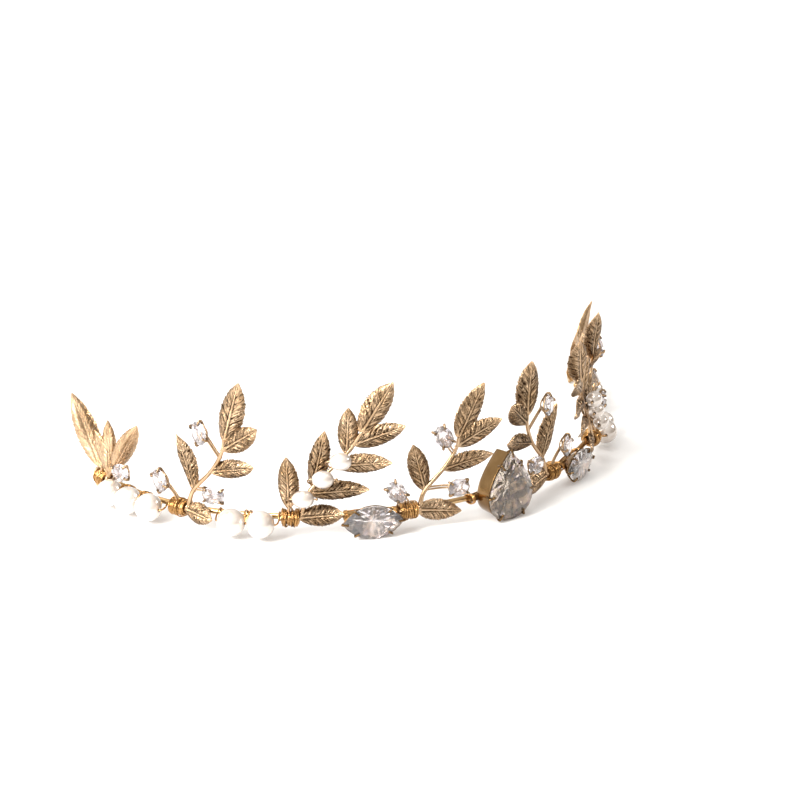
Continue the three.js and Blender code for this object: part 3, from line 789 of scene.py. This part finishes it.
LEAF_GOLD = gold_material(
    "leaf_gold", (0.66, 0.47, 0.30), (0.47, 0.30, 0.16), (0.018, 0.008, 0.003), 1.25, (0.16, 0.26),
    (5.0, 1.6, 1.0), 0.00012
)
BAND_GOLD = gold_material(
    "band_gold", (0.66, 0.45, 0.23), (0.50, 0.32, 0.14), (0.10, 0.05, 0.02), 0.7, (0.14, 0.26),
    (2.0, 2.0, 2.0), 0.00002
)
BINDING_GOLD = gold_material(
    "binding_gold", (0.72, 0.42, 0.17), (0.50, 0.27, 0.09), (0.06, 0.024, 0.008), 1.0, (0.14, 0.26),
    (3.0, 3.0, 3.0), 0.00002
)
# A much darker copy of the gold for the cups and their back bars: its extra darkness is painted shade
# for the smooth cup walls.
SHADE_PAINTED_CUP_GOLD = gold_material(
    "shade_painted_cup_gold", (0.26, 0.155, 0.068), (0.19, 0.108, 0.04), (0.05, 0.025, 0.01), 0.9, (0.08, 0.18),
    (1.2, 1.2, 1.2), 0.00001
)
CLEAR_CRYSTAL = crystal_material(
    "clear_crystal", 1.6, 0.93,
    ((0.64, 0.59, 0.64), (0.82, 0.77, 0.75), (0.88, 0.84, 0.84), (0.66, 0.65, 0.72)),
)
PALE_CRYSTAL = crystal_material(
    "pale_crystal", 1.6, 0.95,
    ((0.88, 0.82, 0.90), (0.99, 0.91, 0.83), (0.98, 0.94, 0.93), (0.86, 0.88, 0.93)),
)
SMOKY_CRYSTAL = crystal_material(
    "smoky_crystal", 1.6, 0.96,
    ((0.52, 0.44, 0.50), (0.76, 0.63, 0.49), (0.66, 0.60, 0.50), (0.50, 0.45, 0.42)),
)
FOIL_WITH_PAINTED_SHADE = foil_material("foil")
NACRE = pearl_material("nacre")

# ---- the base wire ----


def make_band_wire():
    """The base wire with its two hammered eyelets."""
    shape = Shape()
    stations = np.linspace(-WIRE_END, WIRE_END, 260)
    path = np.array([along_wire(station) for station in stations])
    shape.wire(path, WIRE_RADIUS, 16, 0.25)
    for sign in (-1, 1):
        add_eyelet(shape, sign)
    shape.build("band_wire_visual", "band_gold", ["band_wire"], BAND_GOLD)


def squarer(value):
    """A sine or cosine pushed outwards, for the section of a wire hammered flat."""
    return math.copysign(abs(value) ** 0.6, value)


def add_eyelet(shape, sign):
    """A flattened wire loop that hangs from the end of the base wire, its seam under the wire."""
    middle = 0.5 * (EYELET_RADIUS + EYELET_HOLE)
    half = 0.5 * (EYELET_RADIUS - EYELET_HOLE)
    tangent = wire_tangent(sign * WIRE_END)
    inward = np.array([-tangent[1], tangent[0], 0.0])
    centre = along_wire(sign * WIRE_END, 0.0, -middle)
    count = 56
    sides = 12
    points = []
    for k in range(count):
        angle = 2 * math.pi * k / count
        radial = tangent * math.cos(angle) + np.array([0, 0, 1.0]) * math.sin(angle)
        for side in range(sides):
            turn = 2 * math.pi * side / sides
            wide = squarer(math.cos(turn)) * half
            deep = squarer(math.sin(turn)) * EYELET_HALF_DEPTH
            points.append(centre + radial * (middle + wide) + inward * deep)
    faces = loop_faces(count, sides)
    shape.add(points, faces, recess=0.15)


# ---- bindings and ties ----


def coil(stand, turns, half_height, half_depth, out, steps, jitter, source):
    """Points of an oval coil that crosses its top at each given place along the base wire."""
    points = []
    for turn, (start, end) in enumerate(zip(turns, turns[1:])):
        swell = source.uniform(-jitter, jitter)
        lean = source.uniform(-jitter, jitter) * 1.6
        for step in range(steps):
            share = step / steps
            angle = 2 * math.pi * share
            along = start + (end - start) * share + lean * math.sin(angle)
            points.append(stand.at(
                along,
                (half_height + swell) * math.cos(angle),
                out + (half_depth + swell) * math.sin(angle),
            ))
    points.append(stand.at(turns[-1], half_height, out))
    return points


# Layers of a binding, from the innermost: where its turns cross along the base wire, half its height
# and depth, how uneven its turns are, and the radius of its wire.
BINDING_LAYERS = [
    ([-2.2, -1.75, -1.3, -0.95, 0.25, 0.65, 1.05, 1.45, 1.85, 2.2], 1.5, 1.85, 0.08, 0.22),
    ([2.1, 1.3, 0.5, -0.3, -1.1, -1.7, -2.1], 1.85, 2.15, 0.2, 0.18),
    ([-2.1, -0.4, 1.4, 2.1, 0.4, -1.3, -2.0, -0.3, 1.3], 2.0, 2.35, 0.2, 0.17),
    ([2.1, -0.2, -2.0, 0.3, 1.9, -0.6, -1.9], 2.15, 2.5, 0.24, 0.16),
]


def make_binding(side, place_name, distance):
    """Loose layers of fine wire that bind a spray's tail to the base wire."""
    stand = Stand(side, distance)
    source = random.Random(f"{side} {place_name}")
    shape = Shape()
    for turns, half_height, half_depth, jitter, radius in BINDING_LAYERS:
        points = coil(stand, turns, half_height, half_depth, 0.8, 10, jitter, source)
        shape.wire(smooth_path(points, 2), radius, 7, 0.42)
    shape.build(
        f"{side}_{place_name}_binding_wire", "binding_gold",
        [f"{side}_{place_name}_binding"], BINDING_GOLD,
    )


def make_tie(prefix, distance, reach):
    """Fine wire that ties a cup's back bar to the base wire on both sides of the cup."""
    stand = Stand("right", distance) if distance >= 0 else Stand("left", -distance)
    source = random.Random(prefix)
    setback = reach ** 2 / (2 * FRONT_RADIUS)
    shape = Shape()
    points = []
    for sign in (-1, 1):
        turns = [sign * reach + 0.45 * step for step in (-1.0, -0.35, 0.35, 1.0)]
        points += coil(stand, turns, 1.15, 1.6 + setback / 2, 0.55 - setback / 2, 10, 0.04, source)
        if sign < 0:
            points.append(stand.at(0, 1.25, 0))
    shape.wire(smooth_path(points, 2), FINE_WIRE_RADIUS, 7, 0.25)
    shape.build(f"{prefix}_tie_wire", "binding_gold", [f"{prefix}_tie"], BINDING_GOLD)


# ---- sprays ----


def add_stem(shape, stand, rise):
    """A stem whose tail lies along the base wire and which rises through the given points."""
    tail = [(-2.3, 0, TAIL_OUT), (0, 0, TAIL_OUT), (1.7, 0, TAIL_OUT), (2.6, 0.6, 1.6)]
    path = smooth_path([stand.at(*point) for point in tail + rise], 9)
    share = np.linspace(0, 1, len(path))
    taper = np.interp(share, [0, 0.3, 1], [1.0, 1.0, 0.62]) + 0.03 * np.sin(share * 40)
    shape.wire(path, STEM_RADIUS, 12, 0.2, taper)


def add_leaves(shape, stand, rows, seed, shared_turn=0.0, relief=1.0):
    for number, (foot, tip, width, turn) in enumerate(rows):
        face = stand.direction(math.sin(turn + shared_turn), 0, math.cos(turn + shared_turn))
        add_leaf(shape, stand.at(*foot), stand.at(*tip), width, face, f"{seed} {number}", relief)


def add_set_stone(shape, stand, node, twig, centre, face):
    """A small stone in a claw setting, on a twig of two wires."""
    centre = stand.at(*centre)
    seat = Seat(OVAL, centre, stand.direction(*face), centre - stand.at(*twig[-1]))
    back = seat.place((0, -0.6, -seat.depth - SETTING_BACK))
    ends = [stand.at(*point) for point in twig] + [back]
    side = unit(np.cross(ends[-1] - ends[0], stand.out))
    for sign in (-1, 1):
        path = smooth_path([point + side * sign * TWIG_RADIUS * 1.25 for point in ends], 8)
        shape.wire(path, TWIG_RADIUS, 8, 0.25)
    add_claw_setting(shape, seat)
    gem = Shape()
    add_stone(gem, seat, 6)
    gem.build(f"{node}_cut", "crystal", [node], CLEAR_CRYSTAL, flat=True)


STONE_SPRAY_STEM = [(3, 1.6, 1.3), (4.4, 5.2, 0.9), (9, 10.1, 0.5), (12, 15, 0.3), (12.6, 18.5, 0.2)]
STONE_SPRAY_LEAVES = [
    ((12.5, 18, 0.2), (16.7, 32.8, 0.6), 6.3, 0.1),
    ((12.3, 16, 0.3), (22.7, 22.9, 1.2), 5.4, -0.1),
    ((9, 10.1, 0.5), (21.7, 13.4, 0.8), 4.8, 0.15),
    ((4.3, 5, 0.9), (0.1, 18.2, 0.6), 5.2, -0.15),
]
STONE_SPRAY_STONES = {
    "low_stone": ([(-0.4, 0.1, 1.5), (-0.4, 2.6, 1.4)], (-4.1, 6.6, 3.4), (-0.25, 0.1, 1)),
    "high_stone": ([(11.8, 13.8, 0.4), (10.4, 15.6, 0.6)], (7.2, 20, 3), (-0.2, 0.15, 1)),
    "inner_stone": ([(4.6, 5.4, 0.9), (8, 5.6, 1.2)], (12, 6, 4.2), (0.1, 0.1, 1)),
}
BAND_LEAF_TIPS = {"front": (13.4, -1.2, 2.2), "side": (10.2, -1.2, 2.2), "middle": (13.3, 1.8, 2.7)}


def add_band_leaf(shape, stand, place_name, seed):
    tip = stand.at(*BAND_LEAF_TIPS[place_name])
    add_leaf(shape, stand.at(2.2, 0.2, 1.8), tip, 5.4, stand.direction(0, 0.15, 1), seed)


def start_spray(side, place_name, distance, stem, leaves):
    """The stem and leaves of a tall spray, bent as it was by hand; returns its stand and shape."""
    bow, height, turn = SPRAY_BEND[f"{side}_{place_name}"]
    stand = Stand(side, distance, bow, height)
    shape = Shape()
    add_stem(shape, stand, stem)
    add_leaves(shape, stand, leaves, f"{side} {place_name}", turn)
    add_band_leaf(shape, stand, place_name, f"{side} {place_name} band")
    return stand, shape


def finish_spray(shape, side, place_name, distance, noun="spray"):
    """Builds the metal of a spray and binds its tail to the base wire."""
    name = f"{side}_{place_name}"
    shape.build(f"{name}_{noun}", "leaf_gold", [f"{name}_branch"], LEAF_GOLD)
    make_binding(side, place_name, distance)


def make_stone_spray(side, place_name, distance):
    """A spray of five leaves and three set stones."""
    stem, leaves = STONE_SPRAY_STEM, STONE_SPRAY_LEAVES
    stand, shape = start_spray(side, place_name, distance, stem, leaves)
    for stone_name, parts in STONE_SPRAY_STONES.items():
        add_set_stone(shape, stand, f"{side}_{place_name}_{stone_name}", *parts)
    finish_spray(shape, side, place_name, distance)


PEARL_SPRAY_STEM = [
    (2.9, 1.6, 1.3), (4.6, 6.6, 0.6), (9.4, 11.9, 0.1), (13.8, 16.6, 0.1), (17.3, 22, 0.2),
]
PEARL_SPRAY_LEAVES = [
    ((17.1, 21.6, 0.2), (24.6, 35, 0.6), 6.3, 0.1),
    ((15.4, 18.7, 0.1), (27.8, 24, 1), 5.2, -0.1),
    ((13.6, 16.2, 0.1), (14.1, 28.3, 0.4), 5, -0.1),
    ((10.8, 13.2, 0.1), (24.8, 14.6, 0.6), 5, 0.1),
    ((5.4, 7.7, 0.4), (8.5, 22.4, 0.2), 5, -0.15),
    ((4.6, 6.2, 0.6), (19.2, 7.6, 0.7), 5, 0.1),
    ((-0.4, 2.6, 1.3), (-0.8, 15.8, 0.3), 5.2, -0.15),
]
LOW_LEAF_FOOT = [(-0.4, 0.2, 1.6), (-0.4, 1.6, 1.5), (-0.4, 3.2, 1.3)]
STEM_PEARLS = {
    "low_pearl": ((3.2, 6, 3.8), (3.3, 3.2, 1.1)),
    "mid_pearl": ((8, 10.9, 3.2), (5.4, 8.3, 0.2)),
    "high_pearl": ((12.2, 15.5, 3.2), (9.6, 12.9, 0.2)),
}


def add_low_stalk(shape, stand):
    """The short stalk of the leaf that rises straight from the binding."""
    path = smooth_path([stand.at(*point) for point in LOW_LEAF_FOOT], 6)
    shape.wire(path, 0.4, 10, 0.2)


def add_pearl_pin(shape, stand, centre, foot):
    """A pin from the stem through a rice pearl, with a small knob where it ends."""
    inward, up, out = centre
    reach = STEM_PEARL_HALF_LENGTH
    points = [
        foot,
        (inward - reach - 1, up - 1.2, out * 0.6),
        (inward - reach - 0.3, up, out),
        (inward + reach * 0.5, up, out),
        (inward + reach + 0.6, up, out),
    ]
    path = smooth_path([stand.at(*point) for point in points], 8)
    shape.wire(path, FINE_WIRE_RADIUS, 8, 0.3)
    shape.add(*ball(path[-1], 0.36, 7, 10), recess=0.3)


def make_pearl_spray(side, place_name, distance):
    """A spray of eight leaves with three rice pearls on its stem."""
    stem, leaves = PEARL_SPRAY_STEM, PEARL_SPRAY_LEAVES
    stand, shape = start_spray(side, place_name, distance, stem, leaves)
    add_low_stalk(shape, stand)
    for pearl_name, (centre, pin_foot) in STEM_PEARLS.items():
        add_pearl_pin(shape, stand, centre, pin_foot)
        make_pearl(
            f"{side}_{place_name}_{pearl_name}", stand.at(*centre),
            stand.inward, STEM_PEARL_RADIUS, STEM_PEARL_HALF_LENGTH,
        )
    finish_spray(shape, side, place_name, distance)


END_SPRIG_STEM = [(2.9, 1.8, 1.2), (5.6, 4, 0.6), (7.4, 4.6, 0.2)]
END_SPRIG_LEAVES = [
    ((-0.4, 3, 1.5), (-9, 21.4, 4.6), 5.8, 0.6),
    ((2.9, 1.8, 1.2), (-0.6, 13.4, 2.6), 4.4, -0.3),
    ((3.6, 2.6, 1), (2.2, 16.4, 0.2), 4, 0.3),
    ((5.4, 3.9, 0.6), (13.4, 17.6, -2.4), 5, 0.5),
]
END_SPRIG_RELIEF = 0.35
END_SPRIG_TURN = {"left": 0.6, "right": 0.0}
END_SPRIG_STONE = ([(5.4, 3.9, 0.6), (7.4, 4.6, 0.2)], (12.8, 5.9, 2.6), (0.3, 0.1, 1))


def make_end_sprig(side, distance):
    """The last sprig on an arm: four leaves and one set stone."""
    stand = Stand(side, distance)
    shape = Shape()
    add_stem(shape, stand, END_SPRIG_STEM)
    add_low_stalk(shape, stand)
    turn = END_SPRIG_TURN[side]
    add_leaves(shape, stand, END_SPRIG_LEAVES, f"{side} end", turn, END_SPRIG_RELIEF)
    add_set_stone(shape, stand, f"{side}_end_stone", *END_SPRIG_STONE)
    finish_spray(shape, side, "end", distance, "sprig")


# ---- pearls ----


# Pearls are modelled a little small, so that they turn clear of the base wire.
PEARL_SHRINK = 0.975
PEARL_LUMP = 0.007
PEARL_DRILL = 0.32
PEARL_ROWS = 30
PEARL_COLUMNS = 44


def pearl_profile(radius, half_length):
    """Half the section of a drilled pearl, as places across and along its axis."""
    start = math.asin((PEARL_DRILL + 0.12) / radius)
    profile = [(PEARL_DRILL, -half_length * 0.8), (PEARL_DRILL, -half_length * 0.94)]
    for i in range(PEARL_ROWS):
        polar = -math.pi / 2 + start + (math.pi - 2 * start) * i / (PEARL_ROWS - 1)
        profile.append((radius * math.cos(polar), half_length * math.sin(polar)))
    return profile + [(PEARL_DRILL, half_length * 0.94), (PEARL_DRILL, half_length * 0.8)]


def pearl_size(lumps, angle, along):
    """The factor on a pearl's radius at an angle round its axis and a place along it."""
    waves = (a * math.sin((n + 1) * angle + p + along) for n, (a, p) in enumerate(lumps))
    return PEARL_SHRINK + sum(waves)


def make_pearl(node, centre, axis, radius, half_length):
    """A pearl drilled along its axis, very slightly out of round."""
    source = random.Random(node)
    lumps = [(source.uniform(-PEARL_LUMP, PEARL_LUMP), source.uniform(0, 6.28)) for _ in range(3)]
    axis = unit(axis)
    side = unit(np.cross(axis, [0, 0, 1.0]))
    up = np.cross(side, axis)
    profile = pearl_profile(radius, half_length)
    points = []
    for across, along in profile:
        for k in range(PEARL_COLUMNS):
            angle = 2 * math.pi * k / PEARL_COLUMNS
            size = 1 if across <= PEARL_DRILL else pearl_size(lumps, angle, along)
            outward = side * math.cos(angle) + up * math.sin(angle)
            points.append(centre + axis * along + outward * across * size)
    shape = Shape()
    shape.add(points, inside_out(loop_faces(len(profile), PEARL_COLUMNS)))
    shape.build(f"{node}_nacre", "pearl", [node], NACRE, pearl_body(node))


def pearl_body(node):
    return node if node in frame["bodies"] else "root"


def make_pearl_row(side, first_number, start, count):
    """Pearls on one fine wire, which hooks over the base wire at both ends of the row."""
    sign = -1 if side == "left" else 1
    arm = ARM_RADIUS[side]
    pitch = PEARL_PITCH * arm / (arm + PEARL_OFFSET)
    drop = PEARL_HEIGHT - WIRE_HEIGHT
    hook = WIRE_RADIUS + FINE_WIRE_RADIUS + 0.05

    def point(distance, out, up):
        return along_wire(sign * distance, out, up)

    def hooking(distance, reverse=False):
        stops = [
            point(distance, 0.2, -hook), point(distance, -hook, 0), point(distance, 0, hook),
            point(distance, hook + 0.7, 0.7), point(distance, 3.0, -0.2),
        ]
        return stops[::-1] if reverse else stops

    beyond = PEARL_RADIUS + 0.5
    shape = Shape()
    path = hooking(start - beyond)
    for k in range(count):
        distance = start + pitch * k
        number = first_number + k
        tangent = wire_tangent(sign * distance)
        centre = point(distance, PEARL_OFFSET, drop)
        make_pearl(f"{side}_band_pearl_{number}", centre, tangent, PEARL_RADIUS, PEARL_RADIUS)
        for ahead in (-PEARL_RADIUS, 0, PEARL_RADIUS):
            path.append(centre + sign * ahead * tangent)
        if k + 1 < count:
            add_v_tie(shape, point, distance + pitch / 2, drop)
    path += hooking(start + pitch * (count - 1) + beyond, reverse=True)
    shape.wire(smooth_path(path, 8), FINE_WIRE_RADIUS, 7, 0.3)
    shape.build(
        f"{side}_pearl_thread_{first_number}", "binding_gold",
        [f"{side}_pearl_wire_{first_number}"], BINDING_GOLD,
    )


def add_v_tie(shape, point, distance, drop):
    """The small V of wire between two pearls, from their thread up and over the base wire."""
    hook = WIRE_RADIUS + FINE_WIRE_RADIUS
    for sign in (-1, 1):
        stops = [
            point(distance, PEARL_OFFSET, drop + 0.3), point(distance + sign * 0.3, 3.4, 0.9),
            point(distance + sign * 0.6, 2.0, 1.7), point(distance + sign * 0.55, 0.1, hook + 0.15),
            point(distance + sign * 0.4, -hook, 0), point(distance + sign * 0.25, 0.1, -hook),
        ]
        shape.wire(smooth_path(stops, 7), FINE_WIRE_RADIUS, 7, 0.3)


# ---- stones on the base wire ----


def make_band_stone(prefix, cut, distance, centre, cup, claws, bar_reach, tie_reach, crystal):
    """A large stone in its cup, with the back bar and the tie that hold it to the base wire."""
    stand = Stand("left", -distance)
    seat = Seat(cut, stand.at(*centre), stand.direction(0, 0.05, 1), stand.up)
    setting = Shape()
    add_cup(setting, seat, cup, claws)
    bar = smooth_path([stand.at(x, 0, BAR_OUT) for x in (-bar_reach, 0, bar_reach)], 14)
    setting.wire(bar, BAR_RADIUS, 10, 0.2)
    # The cup and back bar take the darker gold, whose darkness is painted shade.
    setting.build(f"{prefix}_cup", "leaf_gold", [f"{prefix}_setting"], SHADE_PAINTED_CUP_GOLD)
    foil = Shape()
    add_foil(foil, seat, 18)
    foil.build(f"{prefix}_foil", None, [], FOIL_WITH_PAINTED_SHADE, flat=True)
    gem = Shape()
    add_stone(gem, seat, 12)
    gem.build(f"{prefix}_stone_cut", "crystal", [f"{prefix}_stone"], crystal, flat=True)
    make_tie(prefix, distance, tie_reach)


def make_marquise(side, distance):
    claws = [share * math.pi for share in (0, 0.3, 0.7, 1, 1.3, 1.7)]
    signed = -distance if side == "left" else distance
    make_band_stone(
        f"{side}_marquise", MARQUISE, signed, (0, -0.7, 4.4), (2.9, 0.66), claws, 6.7, 6.1,
        PALE_CRYSTAL,
    )


def make_pear():
    claws = [math.pi / 2 + 2 * math.pi * k / 7 for k in range(7)]
    make_band_stone("pear", PEAR, 0.0, (0, 4, 7.1), (5.7, 0.93), claws, 8.4, 7.7, SMOKY_CRYSTAL)


# ---- camera, light and floor ----

CAMERA_AZIMUTH = -37.5
CAMERA_ELEVATION = 18.8
CAMERA_ROLL = 0.74
CAMERA_DISTANCE = 435.0
CAMERA_TARGET = (9.2, 51.1, 13.8)
CAMERA_LENS = 69.6

WORLD_BRIGHT_SIDE = (-0.62, 0.32, 0.72)
WORLD_BRIGHT = (1.0, 0.99, 0.97)
WORLD_DIM = (0.16, 0.112, 0.07)
WORLD_STRENGTH = 1.25

# Metres, like the floor's reach.
WINDOW_PLACE = (-0.21, -0.03, 0.1)
WINDOW_AIM = (-0.1, 0.01, 0.02)
WINDOW_SIZE = 0.1
WINDOW_POWER = 0.17
WINDOW_SPREAD = math.radians(100)

FLOOR_REACH = 60.0


def make_camera():
    """The camera, in front of the tiara, on the side of its left arm and a little above it."""
    data = bpy.data.cameras.new("camera")
    data.lens = CAMERA_LENS
    data.sensor_width = 36.0
    data.clip_start = 0.01
    target = Vector(np.array(CAMERA_TARGET) + SHIFT) * MM
    camera = add_object("camera", data)
    camera.matrix_world = (
        Matrix.Translation(target)
        @ Matrix.Rotation(math.radians(CAMERA_AZIMUTH), 4, "Z")
        @ Matrix.Rotation(math.radians(90 - CAMERA_ELEVATION), 4, "X")
        @ Matrix.Rotation(math.radians(CAMERA_ROLL), 4, "Z")
        @ Matrix.Translation((0, 0, CAMERA_DISTANCE * MM))
    )
    bpy.context.scene.camera = camera


def make_world():
    """Soft surroundings, brightest above and behind the left arm and dimmest to the right front."""
    world = bpy.data.worlds.new("world")
    world.use_nodes = True
    tree = world.node_tree
    coordinates = tree.nodes.new("ShaderNodeTexCoord")
    toward = tree.nodes.new("ShaderNodeVectorMath")
    toward.operation = "DOT_PRODUCT"
    toward.inputs[1].default_value = WORLD_BRIGHT_SIDE
    tree.links.new(coordinates.outputs["Generated"], toward.inputs[0])
    level = math_node(tree, "ADD", math_node(tree, "MULTIPLY", toward.outputs["Value"], 0.5), 0.5)
    colour = ramp(tree, level, [(0.25, WORLD_DIM), (0.8, WORLD_BRIGHT)])
    tree.links.new(colour, tree.nodes["Background"].inputs["Color"])
    tree.nodes["Background"].inputs["Strength"].default_value = WORLD_STRENGTH
    bpy.context.scene.world = world


def add_light(name, kind, direction, **settings):
    """A light that shines along a direction."""
    data = bpy.data.lights.new(name, kind)
    for setting, value in settings.items():
        setattr(data, setting, value)
    light = add_object(name, data)
    light.rotation_euler = Vector(direction).to_track_quat("-Z", "Y").to_euler()
    return light


def sun(name, direction, strength, softness, colour, glints_only=False):
    """A distant soft light; a glint light shows only in gloss."""
    angle = math.radians(softness)
    light = add_light(name, "SUN", direction, energy=strength, angle=angle, color=colour)
    light.visible_diffuse = not glints_only


def make_lights():
    make_world()
    sun("key", (0.75, 0.1, -0.62), 1.6, 16.0, (1.0, 0.96, 0.9))
    sun("top", (0.1, -0.45, -1.0), 0.7, 40.0, (1.0, 0.99, 0.97))
    window_light()
    sun("right_glint", (-0.8, 0.3, -0.5), 1.2, 9.0, (1.0, 0.97, 0.92), glints_only=True)
    sun("high_glint", (0.3, 0.1, -0.95), 1.6, 9.0, (1.0, 0.98, 0.95), glints_only=True)


def window_light():
    """A soft light beside the end of the left arm."""
    direction = Vector(WINDOW_AIM) - Vector(WINDOW_PLACE)
    settings = dict(energy=WINDOW_POWER, size=WINDOW_SIZE, spread=WINDOW_SPREAD)
    add_light("window", "AREA", direction, **settings).location = WINDOW_PLACE


def make_floor():
    """A white floor under the tiara."""
    mesh = bpy.data.meshes.new("floor")
    reach = FLOOR_REACH
    corners = [(-reach, -reach, 0), (reach, -reach, 0), (reach, reach, 0), (-reach, reach, 0)]
    mesh.from_pydata(corners, [], [(0, 1, 2, 3)])
    floor = add_object("floor", mesh)
    material, tree, shader = new_material("floor")
    stops = [(0.3, (0.93, 0.93, 0.93)), (0.7, (0.95, 0.95, 0.95))]
    colour = ramp(tree, noise(tree, 6.0, 2.0), stops)
    tree.links.new(colour, shader.inputs["Base Color"])
    shader.inputs["Roughness"].default_value = 0.9
    mesh.materials.append(material)


# ---- the whole tiara ----

make_camera()
make_lights()
make_floor()
bpy.context.scene.view_settings.view_transform = "Standard"

make_band_wire()
make_pear()
for side, places in PLACES.items():
    make_stone_spray(side, "front", places["front"])
    make_marquise(side, places["marquise"])
    make_pearl_spray(side, "middle", places["middle"])
    make_pearl_row(side, 1, places["pearl_pair"], 2)
    make_stone_spray(side, "side", places["side"])
    make_pearl_row(side, 3, places["pearl_triple"], 3)
    make_end_sprig(side, places["end"])
